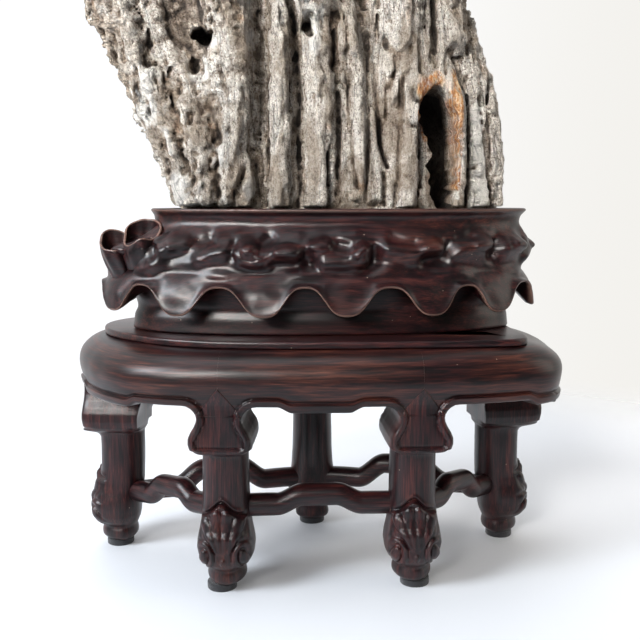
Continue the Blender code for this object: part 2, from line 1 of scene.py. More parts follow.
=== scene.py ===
import bmesh
import bpy
import math
import numpy as np
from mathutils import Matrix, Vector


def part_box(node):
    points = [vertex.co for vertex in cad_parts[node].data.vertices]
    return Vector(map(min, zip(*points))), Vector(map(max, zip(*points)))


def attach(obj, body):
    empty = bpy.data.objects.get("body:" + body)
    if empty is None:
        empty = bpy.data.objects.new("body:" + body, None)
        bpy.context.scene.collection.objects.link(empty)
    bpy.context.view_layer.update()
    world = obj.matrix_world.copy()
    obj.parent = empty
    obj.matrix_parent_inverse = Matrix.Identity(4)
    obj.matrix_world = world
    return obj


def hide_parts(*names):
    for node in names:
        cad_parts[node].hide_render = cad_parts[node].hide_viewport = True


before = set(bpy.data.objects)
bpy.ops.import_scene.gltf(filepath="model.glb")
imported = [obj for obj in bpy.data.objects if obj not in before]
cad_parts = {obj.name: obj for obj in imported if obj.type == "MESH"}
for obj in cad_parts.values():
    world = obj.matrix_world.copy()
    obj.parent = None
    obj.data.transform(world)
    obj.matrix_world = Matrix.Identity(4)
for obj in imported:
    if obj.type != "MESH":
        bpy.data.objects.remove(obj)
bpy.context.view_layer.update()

# The room. A plain pale table top that fades out into an even, pale surrounding. Soft studio light:
# a cool window from the upper left, one above, a weak warm one from the right, a faint fill from the
# front and a gridded one on the stone. The eye is half a metre away, just above the seat's rim.
MM = 0.001
back_pad_low, back_pad_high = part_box("pad_back")
BACK_PAD = np.array([1.5, 51.0])  # the back foot's place from the middle between the legs
MIDDLE = BACK_PAD - (np.array(back_pad_low)[:2] + np.array(back_pad_high)[:2]) / 2 / MM
EYE = (-24.2, -515.5, 215.0)
LOOK_DOWN = 7.85
LOOK_ASIDE = -3.15
LENS = 48.94
SENSOR = 36.0
FLOOR_REACH = 900.0
FLOOR_CLEAR = 330.0
FLOOR_GONE = 620.0
ROOM_DIM = 0.08  # the light off the unlit side, behind the eye, against that off the far wall
NEAR_WALL = 0.74  # how pale that same side looks to someone who faces it


def spots(places):
    """Places measured in millimetres from the middle between the legs, as places in the frame."""
    return (np.asarray(places, float) - np.array([*MIDDLE, 0.0])) * MM


eye = bpy.data.cameras.new("eye")
eye.sensor_fit = "HORIZONTAL"
eye.sensor_width = SENSOR
eye.lens = LENS
eye.clip_start = 0.01
eye_stand = bpy.data.objects.new("eye", eye)
eye_stand.location = spots(EYE)
eye_stand.rotation_euler = (math.radians(90 - LOOK_DOWN), 0, math.radians(LOOK_ASIDE))
bpy.context.scene.collection.objects.link(eye_stand)
bpy.context.scene.camera = eye_stand
bpy.context.scene.view_settings.view_transform = "Standard"


def window(name, size, power, colour, place, aim):
    """A soft rectangular light that faces a point."""
    light = bpy.data.lights.new(name, "AREA")
    light.shape = "RECTANGLE"
    light.size, light.size_y = size
    light.energy = power
    light.color = colour
    stand = bpy.data.objects.new(name, light)
    stand.location = place
    away = np.array(place) - np.array(aim)
    stand.rotation_euler = (
        math.atan2(math.hypot(away[0], away[1]), away[2]), 0, math.atan2(away[0], -away[1]))
    bpy.context.scene.collection.objects.link(stand)
    return stand


window("sky_window", (0.45, 0.6), 21.0, (0.88, 0.94, 1.0), (-1.0, -0.55, 0.80), (0, 0, 0.18))
window("top_window", (1.0, 0.8), 6.0, (0.95, 0.97, 1.0), (-0.25, -0.05, 1.4), (0, 0, 0.1))
window("warm_wall", (0.5, 0.8), 2.6, (1.0, 0.92, 0.82), (1.05, -0.20, 0.45), (0, 0, 0.2))
window("front_fill", (1.2, 0.5), 1.5, (1.0, 0.98, 0.96), (-0.25, -1.3, 0.85), (0, 0, 0.24))
stone_light = window("stone_light", (0.7, 0.5), 3.2, (1.0, 0.97, 0.93), (-0.55, -0.95, 0.80), (0, 0, 0.43))
stone_light.data.spread = math.radians(30)  # a honeycomb grid keeps it off the stand

def joined(tree, node, inputs):
    """Sets a shader node's inputs, or joins them to the outputs of other nodes."""
    for socket, value in dict(inputs).items():
        if isinstance(value, bpy.types.NodeSocket):
            tree.links.new(value, node.inputs[socket])
        else:
            node.inputs[socket].default_value = value
    return node


def put(tree, kind, inputs=(), **settings):
    """A new shader node with its settings and its inputs."""
    node = tree.nodes.new("ShaderNode" + kind)
    for name, value in settings.items():
        setattr(node, name, value)
    return joined(tree, node, inputs)


surround = bpy.data.worlds.new("surround")
surround.use_nodes = True
air = surround.node_tree
apart = put(air, "SeparateXYZ", {0: put(air, "TexCoord").outputs["Generated"]})


def share_of(socket, low, high, to_low=0.0, to_high=1.0):
    """The part of the way that a direction lies from one bound to the other."""
    bounds = {"From Min": low, "From Max": high, "To Min": to_low, "To Max": to_high}
    return put(air, "MapRange", {"Value": apart.outputs[socket], **bounds},
               interpolation_type="SMOOTHSTEP").outputs["Result"]


pale = put(air, "Mix", {"Factor": share_of("X", -0.10, 0.42), "A": (1.06, 1.07, 1.09, 1),
                        "B": (0.90, 0.885, 0.85, 1)}, data_type="RGBA")
strength = put(air, "Mix", {"Factor": put(air, "LightPath").outputs["Is Camera Ray"],
                            "A": share_of("Y", -0.45, 0.55, ROOM_DIM, 1.0),
                            "B": share_of("Y", -0.45, 0.35, NEAR_WALL, 1.0)})
joined(air, air.nodes["Background"], {"Color": pale.outputs["Result"],
                                      "Strength": strength.outputs["Result"]})
bpy.context.scene.world = surround

# The table top that the stand is set on: a white laminate sheet, seen slightly blue in the shade.
# It carries the soft shadows of the feet.
floor_mesh = bpy.data.meshes.new("floor")
rim = [(math.cos(math.radians(a)), math.sin(math.radians(a))) for a in range(0, 360, 5)]
floor_mesh.from_pydata(
    [(x * FLOOR_REACH * MM, y * FLOOR_REACH * MM, 0) for x, y in rim], [], [tuple(range(len(rim)))])
floor = bpy.data.objects.new("floor", floor_mesh)
bpy.context.scene.collection.objects.link(floor)


def blank_material(name):
    """A new material, its nodes and its shader."""
    made = bpy.data.materials.new(name)
    made.use_nodes = True
    return made, made.node_tree, made.node_tree.nodes["Principled BSDF"]


laminate, tree, shader = blank_material("white_laminate")
joined(tree, shader, {"Base Color": (0.80, 0.82, 0.86, 1), "Roughness": 0.55})
reach = put(tree, "VectorMath", {0: put(tree, "NewGeometry").outputs["Position"]}, operation="LENGTH")
fade = put(tree, "MapRange", {"Value": reach.outputs["Value"], "From Min": FLOOR_CLEAR * MM,
                              "From Max": FLOOR_GONE * MM}, interpolation_type="SMOOTHSTEP")
mixed = put(tree, "MixShader", {"Fac": fade.outputs["Result"], 1: shader.outputs[0],
                                2: put(tree, "BsdfTransparent").outputs[0]})
tree.links.new(mixed.outputs[0], tree.nodes["Material Output"].inputs["Surface"])
floor_mesh.materials.append(laminate)

# Felt pads. Five black self-adhesive felt discs, one stuck a little off centre under each foot.
# Their cut edges are fuzzy, and the glued top edge is pressed slightly narrower.
PAD_RADIUS = 8.3
PAD_HEIGHT = 4.0
PAD_AROUND = 96
CUT_IN, FUZZ = 0.08, 0.07  # how far the cut edge stays inside the full radius, and how fuzzy it is
LATTICE = 32  # the random lattice repeats after this many steps
LEG_NAMES = ("front_left", "front_right", "end_right", "back", "end_left")


def places_of(mesh):
    """Where a mesh's points are, in metres."""
    places = np.empty(len(mesh.vertices) * 3, np.float32)
    mesh.vertices.foreach_get("co", places)
    return places.reshape(-1, 3)


def enclosed(mesh):
    """Six times the signed volume inside a mesh: below zero where its faces look inwards."""
    mesh.calc_loop_triangles()
    corners = np.empty(len(mesh.loop_triangles) * 3, np.int32)
    mesh.loop_triangles.foreach_get("vertices", corners)
    a, b, c = places_of(mesh).astype(float)[corners.reshape(-1, 3)].transpose(1, 0, 2)
    return float((a * np.cross(b, c)).sum())


def solid(name, points, faces, surface, node, sharp):
    """One closed piece from points in drawing millimetres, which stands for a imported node."""
    mesh = bpy.data.meshes.new(name)
    mesh.from_pydata(spots(points).tolist(), [], faces if isinstance(faces, list) else faces.tolist())
    mesh.update()
    if enclosed(mesh) < 0:
        mesh.flip_normals()
    mesh.shade_smooth()
    mesh.set_sharp_from_angle(angle=math.radians(sharp))
    mesh.materials.append(surface)
    piece = bpy.data.objects.new(name, mesh)
    bpy.context.scene.collection.objects.link(piece)
    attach(piece, "root")
    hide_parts(node)
    return piece


def loft_faces(rings, around, whole_ends):
    """Quads round a stack of rings from bottom to top, and one face or a strip of quads at each end."""
    lower = np.arange(rings - 1)[:, None] * around + np.arange(around)[None]
    ahead = np.arange(rings - 1)[:, None] * around + (np.arange(around)[None] + 1) % around
    quads = np.stack([lower, ahead, ahead + around, lower + around], axis=2).reshape(-1, 4)
    faces = quads.tolist()
    if whole_ends:
        last = list(range((rings - 1) * around, rings * around))
        return faces + [list(range(around))[::-1], last]
    for base, turned in ((0, True), ((rings - 1) * around, False)):
        half = around // 2
        cap = [(base + i, base + i + 1, base + around - 2 - i, base + around - 1 - i)
               for i in range(half - 1)]
        faces += [face[::-1] if turned else face for face in cap]
    return faces


def lofted(name, rings, surface, node, sharp=60.0, whole_ends=False):
    """A solid piece whose skin runs over a stack of rings."""
    faces = loft_faces(len(rings), len(rings[0]), whole_ends)
    return solid(name, np.concatenate(rings), faces, surface, node, sharp)


def between(part, corner):
    """The value at a place in a cell, from the values at the cell's eight corners."""
    total = 0.0
    for dx in (0, 1):
        for dy in (0, 1):
            for dz in (0, 1):
                weight = (part[0] if dx else 1 - part[0]) * (part[1] if dy else 1 - part[1])
                weight = weight * (part[2] if dz else 1 - part[2])
                total = total + weight * corner(dx, dy, dz)
    return total


def noise(x, y, z, seed):
    """Smooth random values from -1 to 1, with a lattice step of 1."""
    table = np.random.default_rng(seed).random((LATTICE, LATTICE, LATTICE)) * 2 - 1
    low = [np.floor(v).astype(int) for v in (x, y, z)]
    part = [v - f for v, f in zip((x, y, z), low)]
    part = [p * p * (3 - 2 * p) for p in part]

    def at_corner(i, j, k):
        return table[(low[0] + i) % LATTICE, (low[1] + j) % LATTICE, (low[2] + k) % LATTICE]

    return between(part, at_corner)


felt, tree, shader = blank_material("black_felt")
coords = put(tree, "TexCoord")
fibres = put(tree, "TexNoise", {"Vector": coords.outputs["Object"], "Scale": 2600, "Detail": 5})
tint = put(tree, "ValToRGB", {"Fac": fibres.outputs["Fac"]})
tint.color_ramp.elements[0].color = (0.004, 0.004, 0.005, 1)
tint.color_ramp.elements[1].color = (0.03, 0.03, 0.034, 1)
fuzz = put(tree, "Bump", {"Strength": 0.9, "Distance": 0.0004, "Height": fibres.outputs["Fac"]})
joined(tree, shader, {"Base Color": tint.outputs["Color"], "Roughness": 0.95, "Sheen Weight": 0.35,
                      "Normal": fuzz.outputs["Normal"]})

for key in LEG_NAMES:
    pad_low, pad_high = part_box("pad_" + key)
    pad_x, pad_y = (np.array(pad_low)[:2] + np.array(pad_high)[:2]) / 2 / MM + MIDDLE
    turns = np.arange(PAD_AROUND) / PAD_AROUND * 2 * math.pi
    rings = []
    for height, inset in ((0, 0.5), (0, 0.25), (0.25, 0.06), (0.9, 0), (1.8, 0.03), (2.7, 0.02),
                          (3.5, 0.06), (3.9, 0.2), (PAD_HEIGHT, 0.45), (PAD_HEIGHT, 3.0)):
        fuzzy = noise(np.cos(turns) * 9 + 9, np.sin(turns) * 9 + 9, turns * 0 + height * 1.7, len(key))
        radius = PAD_RADIUS - CUT_IN - inset + FUZZ * fuzzy
        rings.append(np.stack([pad_x + radius * np.cos(turns), pad_y + radius * np.sin(turns),
                               turns * 0 + height], axis=1))
    lofted("felt_pad_" + key, rings, felt, "pad_" + key)

# Legs. Five short legs of dark rosewood, each cut from one block with upright grain: a ring foot,
# two scrolls under a fanned leaf, a round column and a bell-shaped shoulder with a rolled border.
# The shoulder's point is mitred up into the bullnose boards and glued.
TABLE_OUTLINE = (
    (0, -78), (60, -77), (105, -70), (131, -57), (142, -18), (144.5, 14), (133, 42), (100, 63),
    (50, 77), (0, 80), (-50, 77), (-98, 64), (-127, 48), (-139, 27), (-139.5, 4), (-133, -18),
    (-119, -42), (-100, -60), (-60, -73))
OUTLINE_STEPS, EDGE_EVENING = 1440, 80
LEGS = {
    "front_left": ((-50.5, -45.0), -95.0), "front_right": ((53.5, -45.0), -89.0),
    "end_right": ((117.5, 19.5), 8.0), "back": ((1.5, 47.0), 90.0), "end_left": ((-117.5, 19.5), 172.0)}
FOOT_LOW = 4.3
CARVED_TO = 62  # the foot's carving ends below this height
BENT_FROM = 88  # from this height up the shoulder bends along with the boards
WEDGE_LOW = 103.2
WEDGE_TOP = 118.4
WEDGE_HALF = 12.3
FACE_IN = 2.9
SHOULDER_REACH = 24.0
SHOULDER_FROM = 81.0
BLOCK_FROM = 84.5
SHOULDER_DROP = {"end_left": 6.5, "end_right": 6.5}  # these two shoulders are cut longer
BORDER_WIDTH = 4.3
LEG_AROUND = 128
# height, half width, reach to the front, reach to the back, squareness
LEG_SECTIONS = (
    (4.3, 8.0, 12.0, 4.2, 2), (4.7, 9.1, 13.1, 5.1, 2), (6.0, 10.6, 14.6, 6.6, 2),
    (8.2, 11.1, 15.1, 7.1, 2), (10.6, 10.8, 14.9, 6.9, 2), (12.2, 10.0, 14.3, 6.5, 2),
    (13.0, 9.9, 14.5, 6.7, 2), (14.4, 11.4, 16.0, 7.4, 2.3), (17.0, 13.7, 18.2, 8.4, 2.6),
    (20.5, 15.4, 19.6, 9.2, 2.8), (26.0, 16.1, 20.0, 9.6, 3), (29.0, 15.9, 19.6, 10.0, 3),
    (32.0, 15.4, 18.2, 10.4, 3), (36.5, 14.4, 15.0, 11.2, 2.8), (42.0, 13.7, 13.9, 12.2, 2.6),
    (54.0, 13.0, 13.4, 12.8, 2.6), (68.0, 12.7, 13.3, 13.0, 2.6), (77.0, 12.6, 13.4, 13.1, 2.7),
    (79.2, 12.7, 15.0, 13.1, 2.8), (80.3, 12.8, 17.5, 13.2, 3.2), (81.0, 13.1, 20.5, 13.4, 4.5),
    (81.6, 14.2, 22.6, 13.7, 5), (82.5, 15.4, 23.6, 13.5, 5), (84.2, 16.6, 24.0, 13.6, 5.5),
    (87.0, 17.1, 24.0, 13.6, 6), (90.5, 16.9, 24.0, 13.6, 6), (93.5, 15.6, 24.0, 13.6, 6),
    (96.5, 13.7, 24.0, 13.6, 6), (99.5, 12.4, 24.0, 13.6, 6), (101.5, 12.1, 24.0, 13.6, 7),
    (103.2, 12.3, 24.0, 13.6, 9))
SHOULDER_LINE = (
    (0, 81.3), (11.4, 81.3), (14.6, 82.3), (16.5, 84.6), (17.1, 88.0), (16.8, 91.0), (15.4, 94.0),
    (13.6, 96.8), (12.3, 99.8), (12.1, 101.6), (12.4, 103.4), (13.5, 105.3), (15.2, 106.9), (17.6, 108.1),
    (20.0, 108.4), (80.0, 108.4))


def closed_curve(points, count):
    """A smooth closed curve through the points: places and outward normals at even arc steps."""
    knots = np.array(points, float)
    size = len(knots)
    spans = np.linalg.norm(np.roll(knots, -1, axis=0) - knots, axis=1)
    matrix = np.zeros((size, size))
    slopes = (np.roll(knots, -1, axis=0) - knots) / spans[:, None]
    for i in range(size):
        matrix[i, i - 1] = spans[i - 1]
        matrix[i, i] = 2 * (spans[i - 1] + spans[i])
        matrix[i, (i + 1) % size] = spans[i]
    bend = np.linalg.solve(matrix, 6 * (slopes - np.roll(slopes, 1, axis=0)))
    traced = []
    for i in range(size):
        j = (i + 1) % size
        b = np.linspace(0, 1, 80, endpoint=False)[:, None]
        a = 1 - b
        curve = a * knots[i] + b * knots[j]
        curve = curve + ((a**3 - a) * bend[i] + (b**3 - b) * bend[j]) * spans[i] ** 2 / 6
        traced.append(curve)
    traced = np.concatenate(traced)
    ring = np.vstack([traced, traced[:1]])
    arc = np.concatenate([[0], np.cumsum(np.linalg.norm(np.diff(ring, axis=0), axis=1))])
    steps = np.linspace(0, arc[-1], count, endpoint=False)
    places = np.stack([np.interp(steps, arc, ring[:, k]) for k in (0, 1)], axis=1)
    along = np.roll(places, -1, axis=0) - np.roll(places, 1, axis=0)
    along /= np.linalg.norm(along, axis=1)[:, None]
    return places, np.stack([along[:, 1], -along[:, 0]], axis=1), arc[-1]


def evened(values, reach):
    """Values round a closed line, each averaged with its neighbours."""
    weights = np.hanning(2 * reach + 1)
    wrapped = np.concatenate([values[-reach:], values, values[:reach]])
    return np.convolve(wrapped, weights / weights.sum(), "valid")


edge, edge_normal, edge_length = closed_curve(TABLE_OUTLINE, OUTLINE_STEPS)
edge_normal = np.stack([evened(edge_normal[:, k], EDGE_EVENING) for k in (0, 1)], axis=1)
edge_normal /= np.linalg.norm(edge_normal, axis=1)[:, None]


def on_edge(arc, inset):
    """The points that far along the bullnose's outline and that far in from it."""
    at = (np.asarray(arc, float) / edge_length * len(edge)) % len(edge)
    low = np.floor(at).astype(int) % len(edge)
    high = (low + 1) % len(edge)
    part = (at - np.floor(at))[..., None]
    place = edge[low] * (1 - part) + edge[high] * part
    normal = edge_normal[low] * (1 - part) + edge_normal[high] * part
    return place - normal * np.asarray(inset, float)[..., None]


def arc_of(point):
    """How far along the bullnose's outline the place nearest to a point is."""
    return np.argmin(np.linalg.norm(edge - np.array(point), axis=1)) / len(edge) * edge_length


def leg_place(key):
    """Axis of a leg, the way it faces, where it meets the outline and how far off that is."""
    axis, degrees = LEGS[key]
    axis = np.array(axis)
    out = np.array([math.cos(math.radians(degrees)), math.sin(math.radians(degrees))])
    reach = 26.0
    for _ in range(4):
        arc = arc_of(axis + out * reach)
        reach = float(np.dot(on_edge(arc, 0.0) - axis, out))
    return axis, out, arc, reach


leg_places = {key: leg_place(key) for key in LEGS}


def arc_beside(place, offset, inset):
    """Where lines that far beside a leg's middle, running the way the leg faces, meet an inset."""
    axis, out, middle, _ = place
    side = np.array([-out[1], out[0]])
    arc = middle + np.asarray(offset, float)
    for _ in range(10):
        arc = arc + (offset - (on_edge(arc, inset) - axis) @ side) * 0.9
    return arc


def near_path(a, b, path):
    """Distance from each place to a path of (a, b, values...), and the values where it is nearest."""
    path = np.array(path, float)
    best = np.full(np.shape(a), 1e9)
    values = [np.zeros(np.shape(a)) for _ in range(path.shape[1] - 2)]
    for start, end in zip(path, path[1:]):
        run = end[:2] - start[:2]
        part = np.clip(((a - start[0]) * run[0] + (b - start[1]) * run[1]) / (run @ run), 0, 1)
        gap = np.hypot(a - start[0] - part * run[0], b - start[1] - part * run[1])
        closer = gap < best
        best = np.where(closer, gap, best)
        for k in range(len(values)):
            values[k] = np.where(closer, start[k + 2] + part * (end[k + 2] - start[k + 2]), values[k])
    return best, values


def step(value):
    """A smooth step from 0 to 1."""
    value = np.clip(value, 0.0, 1.0)
    return value * value * (3 - 2 * value)


def hump(off, width):
    """1 in the middle of a soft hump or groove, and towards 0 beside it."""
    return np.exp(-((off / width) ** 2))


def border(away):
    """The rolled border: how far it stands out, by how far in from the cut edge it is."""
    rounding = np.clip(1.6 - away, 0, 1.6)
    roll = 1.7 - 1.0 * (1.6 - np.sqrt(np.clip(1.6**2 - rounding**2, 0, None)))
    inner = step((BORDER_WIDTH - away) / 0.8)
    return roll * inner - 0.45 * hump(away - BORDER_WIDTH - 0.3, 0.7)


def shoulder_relief(u, z):
    """The shoulder's rolled border and its slightly swelling panel."""
    away, _ = near_path(np.abs(u), z, SHOULDER_LINE)
    panel = 0.3 * hump(u, 7.0)
    return border(away) + np.where(away > BORDER_WIDTH, panel, 0)


def fingers(u, z):
    """The fanned leaf: four lobes that spread upwards from between the scrolls."""
    raised = np.full(np.shape(u), -0.8)
    for root, tip, top, width in ((-1.6, -8.6, 43.8, 2.9), (-0.6, -3.7, 48.4, 2.9),
                                  (0.6, 1.8, 48.4, 3.0), (1.8, 7.6, 44.4, 3.0)):
        path = ((root, 22.5, 0.8), (root * 1.1 + tip * 0.38, 31.0, 2.1),
                (tip * 0.9, 39.5, width), (tip, top - width, width * 0.9))
        gap, (size,) = near_path(u, z, path)
        raised = np.maximum(raised, 1.9 * np.sqrt(np.clip(1 - (gap / size / 1.06) ** 2, 0, 1)) - 0.8)
    return raised


def scroll(u, z):
    """A rolled scroll end, seen from its side: outer rim, groove and a tall almond eye."""
    across = (np.abs(u) - 10.8) / 5.8
    up = (z - 22.4 - 0.12 * (np.abs(u) - 10)) / 8.6
    ring = np.hypot(across, up)
    rim_part = 0.8 * hump(ring - 0.86, 0.17)
    eye = np.hypot((np.abs(u) - 11.4 + 0.10 * (z - 21)) / 2.5, (z - 21.4) / 5.4)
    groove = -1.0 * hump(eye - 1.12, 0.20)
    eye_part = 1.2 * np.sqrt(np.clip(1 - eye**2, 0, 1))
    return (rim_part + groove + eye_part) * (ring < 1.35), ring


def foot_relief(u, z, front):
    """Everything that is carved on the front of a foot."""
    arch = 44.2 + 6.8 * hump(u + 1.2, 5.6)
    near = step((13.0 - np.abs(u)) / 3.5)
    lifted = 2.7 * step((z - 28.0) / 7.5) * step((arch - z) / 1.1) * near
    lifted = lifted + 1.2 * step((z - 28.0) / 7.5) * step((50 - z) / 16) * (1 - near)
    lifted = lifted - 1.5 * hump(z - arch - 0.6, 0.9) * near
    lifted = lifted + 0.5 * hump(z - arch - 2.4, 1.3) * near
    leaf = fingers(u, z)
    scrolls, ring = scroll(u, z)
    leaf_part = step((z - 23.0) / 5.0) * step((arch - 0.8 - z) / 1.4) * step((ring - 0.95) / 0.25)
    leaf_part = leaf_part * step((12.8 - np.abs(u)) / 2.0)
    bud = 1.3 * np.sqrt(np.clip(1 - (u / 1.6) ** 2 - ((z - 19.6) / 2.6) ** 2, 0, 1))
    carved = lifted + leaf * leaf_part + scrolls * step((z - 13.4) / 1.5) + bud
    side_groove = -0.6 * hump(ring - 1.08, 0.08) * (z > 14)
    return (carved + side_groove) * step((front - 0.12) / 0.45)


def spaced(u, depth, front_from, count):
    """Evenly spaced points on a ring, closer together on its carved front."""
    lengths = np.hypot(np.diff(u), np.diff(depth)) * np.where(depth[1:] > front_from, 1.7, 1.0)
    arc = np.concatenate([[0], np.cumsum(lengths)])
    steps = (np.arange(count) + 0.5) / count * arc[-1]
    return np.interp(steps, arc, u), np.interp(steps, arc, depth)


def superellipse(section, count):
    """A rounded ring of a leg: side offsets, depths and normals."""
    _, half, outer, inner, square = section
    t = np.linspace(0, 2 * math.pi, 1441)
    c, s = np.cos(t), np.sin(t)
    power = 2 / np.where(s > 0, square, max(2.0, square * 0.7))
    u = half * np.sign(c) * np.abs(c) ** power
    v = np.sign(s) * np.abs(s) ** power
    depth = np.where(v > 0, v * outer, v * inner)
    u, depth = spaced(u, depth, outer * 0.25, count)
    du = np.roll(u, -1) - np.roll(u, 1)
    dd = np.roll(depth, -1) - np.roll(depth, 1)
    size = np.hypot(du, dd) + 1e-9
    return u, depth, dd / size, -du / size


def block_ring(half, outer, inner, corner, count):
    """The same ring for a squared block with rounded corners."""
    u, depth = [half, half], [0.0, outer - corner]
    for sign, first in ((1, 0), (-1, 90)):
        for turn in np.radians(np.arange(first, first + 91, 9)):
            u.append(sign * (half - corner) + corner * math.cos(turn))
            depth.append(outer - corner + corner * math.sin(turn))
    u += [-half, -half, half, half]
    depth += [0.0, -inner, -inner, -0.001]
    u, depth = spaced(np.array(u), np.array(depth), outer * 0.3, count)
    near_corner = np.clip((np.abs(u) - (half - corner)) / corner, 0, 1)
    nd = np.where(depth > outer - corner, np.sqrt(1 - near_corner**2), 0.0)
    return u, depth, np.sign(u) * np.sqrt(1 - nd**2), nd


def bullnose_in(height):
    """How far the plain bullnose face stands in from the outline, without its rolled border."""
    faces = ((106.7, FACE_IN), (109.0, 2.75), (111.5, 2.2), (114.0, 1.35), (117.0, 0.55), (119.5, 0.12),
             (121.6, 0.0), (124.0, 0.18), (126.5, 0.75), (128.8, 1.8), (131.0, 3.4), (133.4, 6.0),
             (135.0, 8.7), (136.4, 12.6), (136.9, 15.4))
    heights, insets = np.array(faces).T
    return np.interp(height, heights, insets)


def wedge_half(height):
    """Half the width of the leg's mitred point at that height."""
    return WEDGE_HALF * np.clip((WEDGE_TOP - height) / (WEDGE_TOP - WEDGE_LOW), 0.0, 1.0)


def leg_rings(place, drop):
    """A leg's rings from its foot up. The shoulder may be cut longer by that much."""
    axis, out, middle, reach = place
    side = np.array([-out[1], out[0]])
    heights = np.concatenate([
        np.arange(FOOT_LOW, CARVED_TO, 0.55), np.arange(CARVED_TO, 78.2, 1.6), np.arange(78.4, 84, 0.3),
        np.arange(84, 101, 0.6), np.arange(101, 103.2, 0.3)])
    table = np.array(LEG_SECTIONS)
    rings = []
    for height in heights:
        levels = height + np.array([-0.7, -0.35, 0, 0.35, 0.7]) * (0.25 if height > 79.5 else 1.0)
        levels = np.clip(levels, FOOT_LOW, WEDGE_LOW)
        section = [np.mean(np.interp(levels, table[:, 0], table[:, k])) for k in range(5)]
        if height > SHOULDER_FROM:
            section[2] += (reach - FACE_IN - SHOULDER_REACH) * step((height - SHOULDER_FROM) / 2.5)
        if height > BLOCK_FROM:
            corner = np.interp(height, (BLOCK_FROM, BENT_FROM, 95, 101, WEDGE_LOW),
                               (5.0, 3.0, 2.2, 1.6, 0.5))
            u, depth, nu, nd = block_ring(*section[1:4], corner, LEG_AROUND)
        else:
            u, depth, nu, nd = superellipse(section, LEG_AROUND)
        level = np.full_like(u, height)
        if height < CARVED_TO:
            swell = foot_relief(u, level, nd)
        elif height > SHOULDER_FROM:
            swell = shoulder_relief(u, level) * step((nd - 0.1) / 0.5)
            swell = swell * step((height - SHOULDER_FROM) / 0.8)
        else:
            swell = 0 * u
        worn = noise(u / 5 + 40, depth / 5 + 40, level / 16 + 40, 3) * 0.16
        aside = 0.0 if height > SHOULDER_FROM else 1.0
        u, depth = u + nu * (swell * aside + worn), depth + np.where(aside, nd, 1) * swell + nd * worn
        straight = axis + np.outer(u, side) + np.outer(depth, out)
        blend = step((height - BENT_FROM) / (WEDGE_LOW - BENT_FROM))
        if blend > 0:
            bent = on_edge(arc_beside(place, u, reach - depth), reach - depth)
            straight = straight * (1 - blend) + bent * blend
        lowered = drop * np.interp(height, (56, 78, 84, WEDGE_LOW), (0, 1, 1, 0))
        rings.append(np.column_stack([straight, level - lowered]))
    for height in np.concatenate([np.arange(103.3, 112, 0.4), np.arange(112, 118.2, 0.7), [118.25]]):
        half = max(float(wedge_half(height)) + 0.02, 0.12)
        u, depth, nu, nd = block_ring(half, reach, 3.0, min(0.3, half * 0.4), LEG_AROUND)
        level = np.full_like(u, height)
        inset = bullnose_in(level) - shoulder_relief(u, level)
        depth = np.where(depth > 0, depth / reach * (reach - inset), depth)
        bent = on_edge(arc_beside(place, u, reach - depth), reach - depth)
        rings.append(np.column_stack([bent, level]))
    return rings


def ramp(tree, fac, stops):
    """A colour ramp with these (position, colour) stops."""
    node = put(tree, "ValToRGB", {"Fac": fac})
    node.color_ramp.interpolation = "EASE"
    elements = node.color_ramp.elements
    while len(elements) < len(stops):
        elements.new(0.5)
    for element, (at, colour) in zip(elements, stops):
        element.position = at
        element.color = (*colour, 1)
    return node.outputs["Color"]


def maths(tree, kind, first, second, clamp=False):
    """One sum on two values of a material."""
    return put(tree, "Math", {0: first, 1: second}, operation=kind, use_clamp=clamp).outputs[0]


def times(tree, first, second, clamp=False):
    """One value times another."""
    return maths(tree, "MULTIPLY", first, second, clamp)


def plus(tree, first, second, clamp=False):
    """One value added to another."""
    return maths(tree, "ADD", first, second, clamp)


def tinted(tree, under, colour, amount, kind="MIX"):
    """A colour laid over another one by an amount."""
    colour = (*colour, 1) if isinstance(colour, tuple) else colour
    return put(tree, "Mix", {"A": under, "B": colour, "Factor": amount}, data_type="RGBA",
               blend_type=kind).outputs["Result"]


def figure_noise(tree, places, scales, detail, rough, warp):
    """Noise with that many cells to the metre along each axis."""
    drawn = put(tree, "Mapping", {"Vector": places, "Scale": scales})
    return put(tree, "TexNoise", {"Vector": drawn.outputs[0], "Scale": 1.0, "Detail": detail,
                                  "Roughness": rough, "Distortion": warp}).outputs["Fac"]


# The rosewood's colours, from its darkest streaks to its lightest, in plain and in figured wood
PLAIN_WOOD = ((0.37, (0.0028, 0.0012, 0.0019)), (0.46, (0.0092, 0.0030, 0.0040)),
              (0.54, (0.0260, 0.0062, 0.0070)), (0.66, (0.0600, 0.0150, 0.0125)))
FIGURED_WOOD = ((0.38, (0.0042, 0.0015, 0.0018)), (0.50, (0.0250, 0.0064, 0.0050)),
                (0.58, (0.0620, 0.0170, 0.0105)), (0.72, (0.1150, 0.0380, 0.0210)))
RUBBED_WOOD = (0.150, 0.085, 0.066)
DUST = (0.34, 0.26, 0.20)


